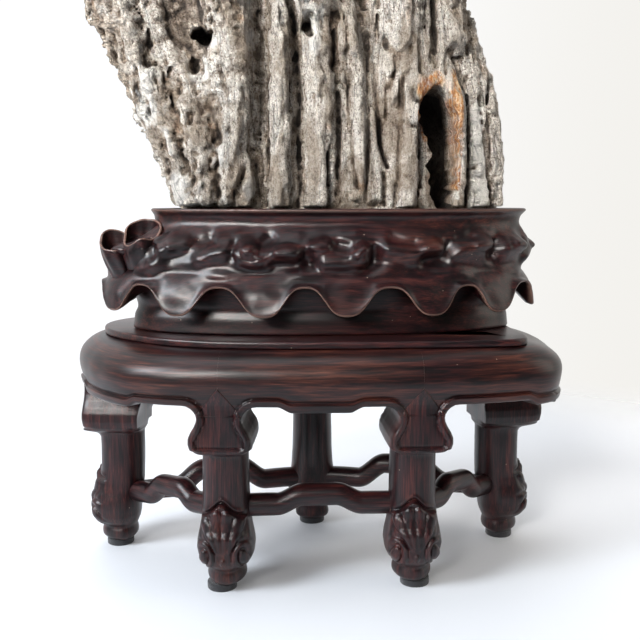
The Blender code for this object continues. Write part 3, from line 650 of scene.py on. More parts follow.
def rosewood(name, turn, figure, upright=False, follows=False, depth=1.0):
    """Waxed dark rosewood. Its grain runs along X turned by that angle, straight up, or along the
    bend of a piece that keeps its own measure of it. A depth under 1 is a darker stick of it."""
    wood, tree, shader = blank_material(name)
    coords = put(tree, "TexCoord")
    bend = put(tree, "Attribute", attribute_name="along_the_bend")
    run = bend.outputs["Vector"] if follows else coords.outputs["Object"]
    rotation = (0, math.radians(-90 if upright else 0), turn)
    turned = put(tree, "Mapping", {"Vector": run, "Rotation": rotation}, vector_type="TEXTURE")

    def grain(scale, stretch, detail, rough, warp=0.0):
        scales = (scale / stretch, scale, scale)
        return figure_noise(tree, turned.outputs[0], scales, detail, rough, warp)

    streaks = grain(400, 12, 6, 0.6, 0.5)
    bands = grain(110, 8, 3, 0.5, 1.2)
    pores = grain(1500, 22, 3, 0.6)
    clouds = grain(28, 2.2, 2, 0.5)
    mix = plus(tree, times(tree, streaks, 0.50), times(tree, bands, 0.40))
    mix = plus(tree, mix, times(tree, maths(tree, "SUBTRACT", pores, 0.43), 0.62))
    plain, figured = [ramp(tree, mix, [(at, tuple(part * depth for part in tone)) for at, tone in tones])
                      for tones in (PLAIN_WOOD, FIGURED_WOOD)]
    amount = put(tree, "MapRange", {"Value": clouds, "From Min": 0.62 - figure * 0.4,
                                    "From Max": 0.86 - figure * 0.4})
    colour = tinted(tree, plain, figured, amount.outputs["Result"])
    worn = put(tree, "MapRange", {"Value": put(tree, "NewGeometry").outputs["Pointiness"],
                                  "From Min": 0.545, "From Max": 0.64, "To Max": 0.75})
    handled = put(tree, "Attribute", attribute_name="handled")
    touched = plus(tree, times(tree, worn.outputs["Result"], clouds),
                   times(tree, handled.outputs["Fac"], 0.8), True)
    colour = tinted(tree, colour, RUBBED_WOOD, touched)
    specks = put(tree, "TexVoronoi", {"Vector": coords.outputs["Object"], "Scale": 210})
    chance = put(tree, "TexWhiteNoise", {"Vector": specks.outputs["Position"]})
    dot = maths(tree, "LESS_THAN", specks.outputs["Distance"], 0.075)
    seldom = maths(tree, "GREATER_THAN", chance.outputs["Value"], 0.93)
    colour = tinted(tree, colour, DUST, times(tree, times(tree, dot, seldom), 0.6))
    waxed = put(tree, "MapRange", {"Value": plus(tree, times(tree, clouds, 0.5), times(tree, streaks, 0.5)),
                                   "To Min": 0.25, "To Max": 0.46})
    height = plus(tree, times(tree, pores, 0.6), times(tree, streaks, 0.4))
    bump = put(tree, "Bump", {"Height": height, "Strength": 0.22, "Distance": 0.0003})
    joined(tree, shader, {"Base Color": colour, "Roughness": waxed.outputs["Result"],
                          "Specular IOR Level": 0.34, "Coat Weight": 0.10, "Coat Roughness": 0.3,
                          "Normal": bump.outputs["Normal"]})
    return wood


upright_wood = rosewood("rosewood_upright_grain", 0.0, 0.15, upright=True)
for key, place in leg_places.items():
    rings = leg_rings(place, SHOULDER_DROP.get(key, 0.0))
    lofted("carved_leg_" + key, rings, upright_wood, "leg_" + key)

# Stretchers. Five round bars, one between each two neighbouring legs, carved from thick stock so
# that each steps up into a hump in the middle. Their ends are glued to the legs with stub tenons.
STRETCHERS = {
    "front": ("front_left", "front_right", 46.0, 46.0, 5.4),
    "front_right": ("front_right", "end_right", 43.5, 36.0, 7.0),
    "back_right": ("end_right", "back", 33.0, 33.0, 10.4),
    "back_left": ("back", "end_left", 33.0, 33.0, 10.4),
    "front_left": ("end_left", "front_left", 36.0, 43.5, 7.0)}
STRETCHER_RADIUS = 6.4
STRETCHER_AROUND = 40
TENON = 10.5

for key, (first, last, low_start, low_end, rise) in STRETCHERS.items():
    start, end = leg_places[first][0], leg_places[last][0]
    span = np.linalg.norm(end - start)
    along = (end - start) / span
    side = np.array([-along[1], along[0]])
    parts = np.linspace(0, 1, 110)
    near = np.minimum(parts, 1 - parts)
    lift = step((near - 0.21) / 0.18)
    reach = TENON + (span - 2 * TENON) * parts
    level = low_start + (low_end - low_start) * parts + rise * lift
    bend = hump(near - 0.30, 0.055)
    slope = np.gradient(level, reach)
    rings = []
    for k in range(len(parts)):
        turns = np.arange(STRETCHER_AROUND) / STRETCHER_AROUND * 2 * math.pi
        rub = noise(np.cos(turns) * 1.1 + 9, np.sin(turns) * 1.1 + 9, turns * 0 + reach[k] / 11, 21)
        radius = STRETCHER_RADIUS * (1 - 0.05 * bend[k]) + 0.22 * rub
        flat = radius * np.cos(turns) * (0.98 + 0.03 * bend[k])
        up = radius * np.sin(turns)
        tip = 1 / math.hypot(1, slope[k])
        at = start + along * reach[k] + np.outer(flat, side) - np.outer(up * slope[k] * tip, along)
        rings.append(np.column_stack([at, level[k] + up * tip]))
    turned = math.atan2(along[1], along[0])
    lofted("hump_stretcher_" + key, rings, rosewood("rosewood_stretcher_" + key, turned, 0.0),
           "stretcher_" + key)

# Aprons. Five bullnose boards between the legs, bent out of thick stock to the table's outline.
# A rolled border runs along the lower edge, dips in a low tongue in the middle and turns down the
# legs; each end is mitred over a leg's shoulder and glued.
TOP_OUTLINE = (
    (0, -64.5), (50, -64), (92, -62.5), (113, -56), (116, -30), (116, 6), (108, 38), (80, 55),
    (40, 63), (0, 65), (-40, 63), (-80, 56), (-111, 43), (-124, 22), (-122, -3), (-103, -31),
    (-77, -50), (-40, -61))
BOARD_STEPS = 720
APRON_UNDER = 4.0
APRON_WIDTH = 15.0
APRON_FULLEST = 121.6
APRON_UPPER = 136.95
PLATEAU = 108.4  # the lower edge beside the legs
TONGUE_DROP = 3.1
TONGUE_EASE = 8.0
TONGUES = {"front": (0.0, 19.0), "front_right": (6.0, 24.0), "back_right": (0.0, 19.0),
           "back_left": (0.0, 19.0), "front_left": (-4.0, 26.0)}  # off the middle, and half width

board_edge, board_normal, _ = closed_curve(TOP_OUTLINE, BOARD_STEPS)
board_gaps = evened(np.array([np.linalg.norm(board_edge - p, axis=1).min() for p in edge]), EDGE_EVENING)


def keep_on(mesh, name, values):
    """Keeps a number, or a place, on each point of a mesh for its material."""
    kind, field = ("FLOAT", "value") if np.ndim(values) == 1 else ("FLOAT_VECTOR", "vector")
    kept = mesh.attributes.new(name, kind, "POINT")
    kept.data.foreach_set(field, np.asarray(values, np.float32).ravel())


def gap_at(arc):
    """How far the top board's edge stands in from the bullnose there."""
    at = np.asarray(arc) / edge_length * len(edge) % len(edge)
    return np.interp(at, np.arange(len(edge) + 1), np.append(board_gaps, board_gaps[0]))


apron_names = ("front", "front_right", "back_right", "back_left", "front_left")
bent_wood_front = rosewood("rosewood_bent_front", 0.0, 0.6, follows=True, depth=0.7)
bent_wood = rosewood("rosewood_bent_back", 0.0, 0.3, follows=True)
face_heights = np.concatenate([np.arange(PLATEAU, 113.6, 0.36), np.arange(113.8, 135.6, 0.9),
                               [135.9, 136.3, 136.6, 136.85]])


def under_edge(off):
    """Height of the lower edge by how far it is from a leg's middle: it turns down beside the leg."""
    corner = np.array([p for p in SHOULDER_LINE if p[1] > WEDGE_LOW])
    return np.interp(off, corner[:, 0], corner[:, 1])


for k, name in enumerate(apron_names):
    first, last = leg_places[LEG_NAMES[k]], leg_places[LEG_NAMES[(k + 1) % len(LEG_NAMES)]]
    turns = edge_length if last[2] < first[2] else 0.0
    off_middle, tongue_half = TONGUES[name]
    middle = (first[2] + last[2] + turns) / 2 + off_middle
    stations = int((last[2] + turns - first[2]) / 0.8)
    share = np.linspace(0, 1, stations)
    share = share - 0.6 * np.sin(2 * math.pi * share) / (2 * math.pi)
    profile = [("back", h) for h in (APRON_UPPER, 131.0, APRON_FULLEST, 114.0, PLATEAU)]
    profile += [("under", part) for part in (0.75, 0.45, 0.2)] + [("face", h) for h in face_heights]
    profile += [("top", part) for part in (0.35, 0.7)]
    columns, along = [], []
    for kind, value in profile:
        height = value if kind in ("back", "face") else (PLATEAU if kind == "under" else APRON_UPPER)
        arc = first[2] + (last[2] + turns - first[2]) * share
        level = np.full_like(arc, height)
        for _ in range(5):
            off = np.minimum(arc - first[2], last[2] + turns - arc)
            lowest = under_edge(off)
            level = lowest + (height - PLATEAU) * (APRON_UPPER - lowest) / (APRON_UPPER - PLATEAU)
            back = gap_at(arc) + APRON_UNDER
            stretch = (gap_at(arc) + 1.5) / APRON_WIDTH
            plain = bullnose_in(level) * np.where(level > APRON_FULLEST, stretch, 1)
            inset = {"back": back, "face": plain, "under": FACE_IN + (back - FACE_IN) * value,
                     "top": plain + (back - plain) * value}[kind]
            room = wedge_half(level[[0, -1]]) + 0.01
            arc_0 = float(arc_beside(first, room[:1], inset[:1])[0])
            arc_1 = float(arc_beside(last, -room[1:], inset[-1:])[0]) + turns
            arc = arc_0 + (arc_1 - arc_0) * share
        tongue = TONGUE_DROP * step((tongue_half + TONGUE_EASE / 2 - np.abs(arc - middle)) / TONGUE_EASE)
        dip = tongue * step((120.0 - level) / 11.6)
        if kind in ("face", "under"):
            away, _ = near_path(off, level, SHOULDER_LINE)
            inset = inset - (border(away) if kind == "face" else border(away) * (1 - value))
            inset = inset + noise(arc / 9, level / 7, level * 0, 31) * 0.12
        columns.append(np.column_stack([on_edge(arc, inset), level - dip]))
        from_front = np.where(arc.mean() > edge_length / 2 + 1, arc - edge_length, arc)
        along.append(np.column_stack([from_front, inset, level]) * MM)
    rings = list(np.stack(columns, axis=1))
    wood = bent_wood_front if name in ("front", "front_right", "front_left") else bent_wood
    board = lofted("bullnose_apron_" + name, rings, wood, "apron_" + name, whole_ends=True)
    keep_on(board.data, "along_the_bend", np.stack(along, axis=1).reshape(-1, 3))

# Top board. One thin flat panel that is glued on the aprons and stands a few millimetres proud of
# them, with its upper edge eased by hand. Its grain runs along the table.
BOARD_UNDER, BOARD_UPPER = 137.1, 140.9
rings = []
for height, inset in ((BOARD_UNDER, 9.0), (BOARD_UNDER, 0.5), (137.35, 0.12), (137.8, 0.0), (139.6, 0.0),
                      (140.2, 0.12), (140.6, 0.4), (140.85, 0.9), (BOARD_UPPER, 1.6), (BOARD_UPPER, 12.0),
                      (BOARD_UPPER, 30.0)):
    wander = noise(board_edge[:, 0] / 12, board_edge[:, 1] / 12, board_edge[:, 0] * 0, 41) * 0.15
    ring = board_edge - board_normal * (inset + wander)[:, None]
    rings.append(np.column_stack([ring, np.full(len(ring), height)]))
board_wood = rosewood("rosewood_board", 0.0, 0.3)
lofted("raised_top_board", rings, board_wood, "top_board")

# Rock seat. One block carved to carry the stone: a plain foot, a skirt cut like draped cloth with a
# scalloped edge and a deep hollow behind it, a band of cloud scrolls, a coved neck and a thin rim
# round the pocket that is let in to the stone's own base. It stands loose on the top board.
SEAT_AROUND = 800
SEAT_OUTSIDE = (
    (145.2, 5.4, -4.0, 110.5, 39.8), (149.6, 5.4, -4.0, 109.9, 39.5), (156.0, 5.2, -4.0, 108.0, 38.4))
HOLLOW_ROOF = (165.5, 4.6, -4.0, 113.5, 44.0)
SKIRT_HALF = (127.2, 57.0)
SKIRT_MIDDLE = (3.7, -4.0)
SKIRT_THICK = 2.2
BAND_PROFILE = (
    (171.5, 3.2, -4.0, 122.8, 51.4), (176.5, 3.2, -4.0, 120.6, 48.4), (182.5, 4.0, -4.0, 120.8, 47.8),
    (188.5, 5.0, -4.0, 121.4, 47.8), (193.0, 10.5, -4.0, 114.4, 44.6), (197.5, 13.6, -4.0, 108.8, 40.9),
    (201.5, 14.6, -4.0, 106.8, 38.6), (205.6, 15.2, -4.0, 107.0, 39.0), (208.0, 15.7, -4.0, 108.6, 41.0))
RIM_LIP = (
    (208.9, 15.8, -4.0, 109.4, 42.0), (209.6, 15.8, -4.0, 109.5, 42.1), (210.1, 15.8, -4.0, 109.1, 41.7),
    (210.35, 15.8, -4.0, 108.3, 40.9), (210.4, 15.8, -4.0, 107.0, 39.8))
POCKET = (15.5, -2.0, 96.5, 37.8)
POCKET_FLOOR = 204.0
LOBE_LOW, LOBE_HIGH = 153.3, 168.6
LOBE_TIPS = (-266.4, -220.2, -174.1, -125.0, -81.6, -32.6, 11.0, 60.1, 101.6, 148.9, 195.1, 241.2, 287.4)

# Cloud scrolls along the band, from the front middle outwards: rounded heads, the soft bodies that
# trail down from them, and the hollows cut in beside them, each as an (arc, height, radius) path
# with how far it stands out. The rest of the way round repeats one scroll with small changes.
HEADS = (
    (3.4, ((-88, 191.6, 3.4), (-84, 193.2, 3.9), (-79, 193.4, 3.6))),
    (2.6, ((-106, 189, 2), (-107.5, 191.5, 2.3), (-104, 193.8, 2.4), (-97.5, 193.4, 2.3),
           (-95, 195.6, 2.2))),
    (1.6, ((-58, 193.4, 2.8), (-54, 193.2, 2.8))), (3.8, ((-43, 189.2, 4.8), (-42, 189.2, 4.8))),
    (2.2, ((-49.5, 186.6, 2.2), (-46, 182.6, 2.3), (-41, 181, 2.3), (-36.5, 182.4, 2.2))),
    (3.9, ((-26, 187.2, 3.6), (-21.5, 187.6, 4.4), (-17, 186.6, 4.2))),
    (2.6, ((-7, 190.8, 2.6), (-1.5, 191.6, 3.3), (0.5, 191.5, 3.2))),
    (4.0, ((17, 186, 3.6), (20.5, 189, 4.0), (21.6, 188.5, 4.0))),
    (3.4, ((21.4, 186.5, 4.0), (20.6, 182.6, 4.0))),
    (3.8, ((56, 189.2, 3.4), (61, 190.2, 4.4), (64.5, 189.8, 3.9))),
    (3.2, ((88, 190.8, 3.2), (94, 191.6, 4.1), (97.5, 191.2, 3.8))),
    (4.0, ((118, 190.8, 3.6), (123, 190.4, 4.6), (126, 189.8, 4.2))))
BODIES = (
    (3.0, ((-98, 181, 4.5), (-93, 187, 5), (-86, 191, 5))),
    (2.6, ((-70, 184, 4), (-64, 185.8, 4.6), (-54, 187, 4.2))),
    (3.2, ((-45, 186, 7), (-40, 185, 7))), (3.2, ((-36, 182.5, 4.5), (-29, 185, 5), (-20, 186, 5.5))),
    (2.2, ((-12, 188.5, 4), (-4, 190, 5))), (3.4, ((0, 181.6, 5), (10, 181.6, 6), (18, 184, 6))),
    (3.2, ((34, 189.4, 4), (42, 187.4, 4.6), (52, 186.8, 5), (60, 188.6, 5.5))),
    (2.8, ((74, 186.4, 4), (82, 188.6, 5), (92, 190.4, 5.5))), (3.0, ((112, 188, 5), (122, 189.4, 6))),
    (1.5, ((-79, 197.6, 4.5), (-70, 198.0, 4.5))), (1.5, ((-58, 197.0, 4.5), (-49, 197.2, 4.5))),
    (1.4, ((-24, 196.4, 4.2), (-16, 196.8, 4.2))), (1.5, ((10, 195.2, 4.2), (16, 196.6, 4.2))),
    (1.2, ((46, 194.6, 4), (54, 195.2, 4))), (1.2, ((82, 196.6, 4.2), (92, 196.6, 4.2))))
HOLLOWS = (
    (4.2, ((-70, 190.5, 5), (-66, 192.5, 4))), (3.2, ((-100.5, 187.6, 3.6), (-99, 186, 3.2))),
    (3.0, ((-51.5, 190.5, 3.2), (-52, 186, 3))), (3.2, ((-34.5, 191, 3.6), (-31, 193.4, 4))),
    (4.6, ((-10.5, 185.6, 4), (-9, 180.5, 4.5))), (2.6, ((-28, 180.4, 3), (-18, 180.2, 3.4))),
    (3.6, ((7.5, 190.8, 3.4), (12, 189.2, 3.2))), (5.0, ((28, 187.5, 3.8), (27, 181, 4.4), (22, 177, 3.6))),
    (2.4, ((38, 194.0, 2.8), (50, 191.8, 2.6))),
    (4.8, ((71, 188.5, 4), (67, 183.6, 3.8), (57, 182.2, 3.4))),
    (4.4, ((104, 190.4, 4.2), (101, 185, 4))), (1.8, ((78, 193.6, 2.8), (86, 195.2, 2.8))),
    (2.6, ((-88, 185, 4), (-78, 187, 4))))
HEAD_AGAIN = ((-2, -0.6, 3.5), (2.5, 0.4, 4.4), (6, -1.0, 4.0))
BODY_AGAIN = ((-14, -6.0, 4.2), (-7, -4.4, 5.2), (1, -2.2, 5.6))
HOLLOW_AGAIN = ((12.4, 0.5, 4.0), (10, -5.5, 4.4), (2, -8.4, 3.4))
FRONT_END, BACK_END = 134.0, 486.0

turns_fine = np.linspace(0, 2 * math.pi, 4001)
oval_arc = np.concatenate([[0], np.cumsum(np.hypot(
    np.diff(SKIRT_HALF[0] * np.sin(turns_fine)), np.diff(SKIRT_HALF[1] * np.cos(turns_fine))))])
oval_length = oval_arc[-1]
seat_arcs = np.arange(SEAT_AROUND) * oval_length / SEAT_AROUND
seat_turns = np.interp(seat_arcs, oval_arc, turns_fine)
signed_arcs = np.where(seat_arcs > oval_length / 2, seat_arcs - oval_length, seat_arcs)
tip_arcs = np.concatenate([[LOBE_TIPS[-1] - oval_length], LOBE_TIPS, [LOBE_TIPS[0] + oval_length]])
lobe_phase = np.interp(signed_arcs, tip_arcs, np.arange(len(tip_arcs)))
lobe = 0.5 + 0.5 * np.cos(2 * math.pi * lobe_phase)
edge_height = LOBE_HIGH + (LOBE_LOW - LOBE_HIGH) * (0.5 + 0.5 * np.sin((lobe - 0.5) * 2.7) / math.sin(1.35))
edge_height = edge_height + 0.5 * noise(seat_arcs / 40, seat_arcs * 0, seat_arcs * 0, 51)


def oval(section):
    """A level ring of the seat, from its height, middle and half widths."""
    height, x, y, half_x, half_y = section
    return np.column_stack([x + half_x * np.sin(seat_turns), y - half_y * np.cos(seat_turns),
                            np.full(SEAT_AROUND, float(height))])


def through(rings, counts):
    """Rings on a smooth curve through the given ones, with that many steps in each interval."""
    ends = [2 * rings[0] - rings[1]] + rings + [2 * rings[-1] - rings[-2]]
    found = []
    for k, count in enumerate(counts):
        a, b, c, d = ends[k:k + 4]
        for t in np.arange(count) / count:
            found.append(0.5 * (2 * b + (c - a) * t + (2 * a - 5 * b + 4 * c - d) * t * t
                                + (3 * b - a - 3 * c + d) * t * t * t))
    return found + [rings[-1]]


def stroke(arcs, heights, path):
    """Share of the path's radius at each place: 0 on the path and 1 at its edge."""
    away, (radius,) = near_path(arcs, heights, path)
    return away / radius


def scroll_relief(arcs, heights):
    """How far the carving stands out of the plain band there."""
    heads, bodies, hollows = list(HEADS), list(BODIES), list(HOLLOWS)
    draw = np.random.default_rng(61)
    at = FRONT_END + 16
    while at < BACK_END - 12:
        size, lean, base = 0.9 + 0.25 * draw.random(), 0.8 + 0.5 * draw.random(), 188.6 + 2 * draw.random()
        for forms, again, lift in ((heads, HEAD_AGAIN, 3.7), (bodies, BODY_AGAIN, 3.2),
                                   (hollows, HOLLOW_AGAIN, 4.4)):
            forms.append((lift, tuple((at + u * size, base + v * lean, r * size) for u, v, r in again)))
        bodies.append((1.9, ((at - 8, base + 8.4, 4.4), (at - 1, base + 8.8, 4.4))))
        heads.append((1.6, ((at - 13, base + 2.4, 2.6), (at - 9, base + 3.2, 2.8))))
        at += 28 + 7 * draw.random()
    around = np.where(arcs < -oval_length + BACK_END, arcs + oval_length, arcs)

    def share_of_path(path):
        return stroke(around if path[0][0] > FRONT_END else arcs, heights, path)

    swollen, raised = np.zeros_like(heights), np.zeros_like(heights)
    for lift, path in bodies:
        swollen = np.hypot(swollen, lift * np.exp(-(share_of_path(path) ** 2) * 0.8))
    for depth, path in hollows:
        swollen = swollen - depth * np.exp(-(share_of_path(path) ** 2) * 0.9)
    for lift, path in heads:
        raised = np.maximum(raised, lift * np.clip(1 - (share_of_path(path) / 1.3) ** 2, 0, 1) ** 1.5)
    return swollen * (1 - 0.45 * step(raised / 2)) + raised


def drape_relief(arcs, heights, phase):
    """Folds of the skirt: each lobe swells out, and a soft roll lies over each arch between lobes."""
    low = step((heights - 156.0) / 8) * step((184.0 - heights) / 12)
    lean = phase + 0.05 * np.sin((heights - 160) / 6)
    fold = 1.5 * np.cos(2 * math.pi * lean) * step((176 - heights) / 12)
    over_arch = 0.5 - 0.5 * np.cos(2 * math.pi * (phase + 0.04))
    roll = 2.1 * over_arch**2 * hump(heights - 176.0 - 1.5 * np.sin(arcs / 23), 3.4)
    dimple = 1.1 * (1 - over_arch) ** 2 * hump(heights - 175.0, 4.5)
    return fold * (0.45 + 0.55 * low) + roll - dimple


skirt_low = oval((0, *SKIRT_MIDDLE, *SKIRT_HALF))
skirt_low[:, 2] = edge_height
skirt_out = np.column_stack([np.sin(seat_turns), -np.cos(seat_turns) * SKIRT_HALF[0] / SKIRT_HALF[1]])
skirt_out /= np.linalg.norm(skirt_out, axis=1)[:, None]
skirt_out = np.column_stack([skirt_out, np.zeros(SEAT_AROUND)])
up = np.array([0, 0, 1.0])
skirt_inner = skirt_low - skirt_out * (SKIRT_THICK + 1.2) + up * 1.0
roof = oval(HOLLOW_ROOF)
roof[:, 2] = 0.45 * edge_height + 0.55 * HOLLOW_ROOF[0] + 2.5
foot = [oval((141.1, 5.4, -4.0, 96.0, 27.0)), oval((141.1, 5.4, -4.0, 109.2, 38.6)),
        oval((141.35, 5.4, -4.0, 110.4, 39.7)), oval((142.0, 5.4, -4.0, 110.9, 40.1))]
below = foot[:-1] + through([foot[-1]] + [oval(s) for s in SEAT_OUTSIDE] + [roof, skirt_inner],
                            (3, 4, 5, 7, 6))
lip = [skirt_low - skirt_out * SKIRT_THICK * 0.75 + up * 0.15, skirt_low - skirt_out * SKIRT_THICK * 0.3,
       skirt_low + up * 0.5, skirt_low + up * 1.3]
wall = through([skirt_low + up * 1.3] + [oval(s) for s in BAND_PROFILE], (12, 8, 10, 11, 10, 7, 6, 5, 4))
pocket_top = oval((210.1, POCKET[0], POCKET[1], POCKET[2] + 0.7, POCKET[3] + 0.7))
above = [oval(s) for s in RIM_LIP] + [pocket_top, oval((209.5, *POCKET)), oval((206.5, *POCKET)),
                                      oval((POCKET_FLOOR, *POCKET)),
                                      oval((POCKET_FLOOR, POCKET[0], POCKET[1], 70.0, 12.0))]
rings = []
at_end = step((np.abs(np.sin(seat_turns)) - 0.84) / 0.13)
for ring in lip[:-1] + wall:
    heights = ring[:, 2]
    live = step((heights - 151.0) / 3.0) * step((204.0 - heights) / 8.0)
    across = np.arcsin(np.clip((ring[:, 0] - 4.4) / 123.4, -1, 1))
    across = np.where(np.cos(seat_turns) < 0, math.pi - across, across) % (2 * math.pi)
    plumb = np.interp(across, turns_fine, oval_arc)
    plumb = np.where(plumb > oval_length / 2, plumb - oval_length, plumb)
    plumb = np.where(np.abs(plumb - signed_arcs) > 60, signed_arcs, plumb)
    carving_arcs = plumb + (signed_arcs - plumb) * at_end
    relief = scroll_relief(carving_arcs, heights) * step((heights - 172.0) / 9)
    relief = relief + drape_relief(signed_arcs, heights, lobe_phase)
    tool_marks = 0.16 * noise(seat_arcs / 4.5, heights / 3.2, heights * 0, 52)
    rings.append(ring + skirt_out * ((relief + tool_marks) * live)[:, None])
rings = below + rings + above
seat_wood = rosewood("rosewood_seat", 0.0, 0.2, depth=0.68)
seat_piece = lofted("carved_rock_seat", rings, seat_wood, "rock_seat")
rubbed_at = np.zeros(len(rings) * SEAT_AROUND)
rubbed_at[len(below) * SEAT_AROUND:(len(below) + 3) * SEAT_AROUND] = 1.0
rubbed_at[(len(below) + len(lip) - 1 + len(wall)) * SEAT_AROUND:][:2 * SEAT_AROUND] = 0.4
keep_on(seat_piece.data, "handled", rubbed_at)


def cup(name, middle, halves, rim, foot, wall, ruffle):
    """A hollowed petal: a cup that opens out of its foot, with a thin rim of uneven height."""
    turns = np.arange(CUP_AROUND) / CUP_AROUND * 2 * math.pi
    degrees = np.array([d for d, _ in rim] + [rim[0][0] + 360.0])
    heights = np.array([h for _, h in rim] + [rim[0][1]])
    rim_at = np.interp(np.degrees(turns), degrees, heights)
    rim_at = evened(rim_at, 7)
    shape = 1 + ruffle * np.sin(3 * turns + 0.6) + 0.6 * ruffle * np.sin(5 * turns + 2.0)
    stations = [(0.0, 0.02)] + [(t, 0.0) for t in np.linspace(0, 1, 26)[1:]]
    stations += [(1.012, 0.3), (1.012, 0.7)] + [(t, 1.0) for t in np.linspace(1, 0.3, 22)] + [(0.3, 1.7)]
    rings = []
    for t, inside in stations:
        opened = 0.55 + 0.45 * math.sin(t * math.pi / 2) ** 1.2
        reach = np.array([foot[3], foot[3]]) * (1 - t) + np.array(halves) * t
        reach = reach * opened / (0.55 + 0.45 * t)
        if inside > 1:
            reach = reach * 0.25
        centre = np.array(foot[:2]) * (1 - t) + np.array(middle) * t
        level = foot[2] + (rim_at - foot[2]) * t
        if inside:
            level = level + (1 - t) * 1.5
        thinned_by = wall * min(inside, 1.0) * (1.2 - 0.4 * t)
        size = np.maximum(reach[:, None] * (1 + (shape - 1) * t) - thinned_by, 0.4)
        folds = 0.35 * np.sin(turns * 9 + 2 * t) * math.sin(math.pi * min(t, 1.0)) * (1 - 0.6 * inside)
        rings.append(np.column_stack([centre[0] + (size[0] + folds) * np.cos(turns),
                                      centre[1] + (size[1] + folds) * np.sin(turns), level]))
    cup_piece = lofted(name, rings, seat_wood, "rock_seat", 75)
    rubbed = np.zeros(len(rings) * CUP_AROUND)
    rim_first, rim_last = 25, 28  # the rings that make the rim
    rubbed[rim_first * CUP_AROUND:(rim_last + 1) * CUP_AROUND] = 0.9
    keep_on(cup_piece.data, "handled", rubbed)


# Two cupped petals stand at the left end, in front of the neck, where the carver undercut the block.
CUP_AROUND = 120
cup("outer_petal", (-112.4, -15), (9.6, 11.0),
    ((0, 189.5), (50, 195.0), (90, 197.6), (125, 198.4), (155, 196.0), (190, 192.4), (230, 188.0),
     (270, 187.2), (310, 187.6)), (-108, -15, 171.0, 7.5), 1.7, 0.05)
cup("inner_petal", (-97.0, -21), (10.6, 11.5),
    ((0, 199.5), (30, 203.0), (60, 204.0), (100, 204.2), (135, 201.6), (170, 196.4), (205, 191.0),
     (235, 189.6), (255, 191.8), (275, 194.8), (300, 193.2), (325, 193.6), (345, 196.0)),
    (-97, -20, 176.0, 9.0), 1.6, 0.05)

# The stone. A tall slab of weathered limestone that stands on end and leans left as it rises. Water
# has fluted it from top to bottom and eaten pits, slots and one deep cavity into it, and white
# calcite and a little iron rust have grown in the seams. It only rests in the seat's pocket.
STONE_GRID = 1.2
COARSE_GRID = 4.4
STONE_LOW, STONE_HIGH = (-156.0, -58.0, 200.0), (130.0, 54.0, 488.0)
STONE_TRIANGLES = 190000
STONE_BOTTOM, STONE_TOP = 204.3, 480.0
STONE_LEVELS = (198, 213, 220, 235, 249, 272, 286, 307, 327, 358, 398, 428, 450, 468, 478, 484)
STONE_LEFT = (-77, -78, -82, -86, -92, -103, -107, -119, -128, -137, -134, -124, -112, -101, -92, -82)
STONE_RIGHT = (108, 109, 110, 111, 108, 105, 102, 94, 86, 76, 60, 42, 16, -22, -48, -66)
STONE_DEPTH = (35, 34, 34, 35, 36, 37, 37, 37, 36, 34, 30, 27, 23, 18, 12, 4)
STONE_Y = -2.0
SEATED_TO = 210.9  # up to just over the seat's rim the stone keeps inside its pocket
SCATTER_FROM, SCATTER_OVER = 206, 272  # small forms start from here, over this much height
MAP_STEP = 0.7
PIT_LATTICE = 24  # the scattered pits repeat after this many spacings

# Big forms, as paths of (x, y, z, radius): ribs that stand out and hollows that run in
BIG_RIBS = (
    ((-69, -20, 212, 7), (-79, -22, 248, 8), (-95, -24, 292, 9), (-112, -24, 343, 12),
     (-117, -20, 398, 11), (-106, -10, 443, 8)),
    ((-48, -33, 238, 8), (-43, -36, 260, 8), (-44, -36, 288, 10), (-47, -35, 323, 12),
     (-58, -30, 378, 12), (-74, -20, 433, 10), (-82, -8, 468, 8)),
    ((-20, -33, 210, 7), (-20, -35, 248, 7), (-18, -36, 298, 7), (-20, -35, 338, 8),
     (-34, -27, 398, 8), (-58, -14, 450, 7)),
    ((0, -34, 210, 8), (1, -36, 263, 8), (0, -37, 296, 9), (-3, -37, 323, 12),
     (-6, -33, 360, 10), (-20, -24, 413, 8), (-40, -10, 446, 6)),
    ((22, -33, 212, 8), (22, -35, 258, 8), (18, -36, 303, 7), (16, -33, 348, 8),
     (4, -24, 398, 8)),
    ((50, -31, 212, 10), (48, -34, 263, 9), (46, -34, 318, 11), (40, -30, 358, 10),
     (24, -20, 406, 8)),
    ((77, -26, 210, 8), (77, -30, 260, 8), (73, -28, 298, 8), (71, -27, 323, 9),
     (60, -22, 363, 8), (46, -12, 393, 7)),
    ((-42, -31, 222, 12), (-41, -31, 227, 12)),
    ((-60, -28, 220, 8), (-61, -31, 244, 8), (-66, -31, 266, 8)),
    ((-74, 22, 214, 8), (-93, 22, 268, 10), (-114, 22, 328, 12), (-121, 16, 393, 11),
     (-108, 6, 438, 9)),
    ((-52, 32, 210, 9), (-62, 35, 278, 12), (-76, 32, 348, 12), (-86, 22, 418, 10),
     (-86, 8, 460, 8)),
    ((-8, 33, 210, 10), (-14, 37, 288, 11), (-30, 34, 368, 12), (-54, 20, 428, 9),
     (-66, 6, 460, 7)),
    ((40, 32, 210, 9), (36, 35, 278, 11), (20, 31, 348, 10), (-6, 20, 408, 8)),
    ((84, 24, 210, 8), (78, 28, 268, 9), (62, 24, 333, 10), (44, 14, 383, 7)))
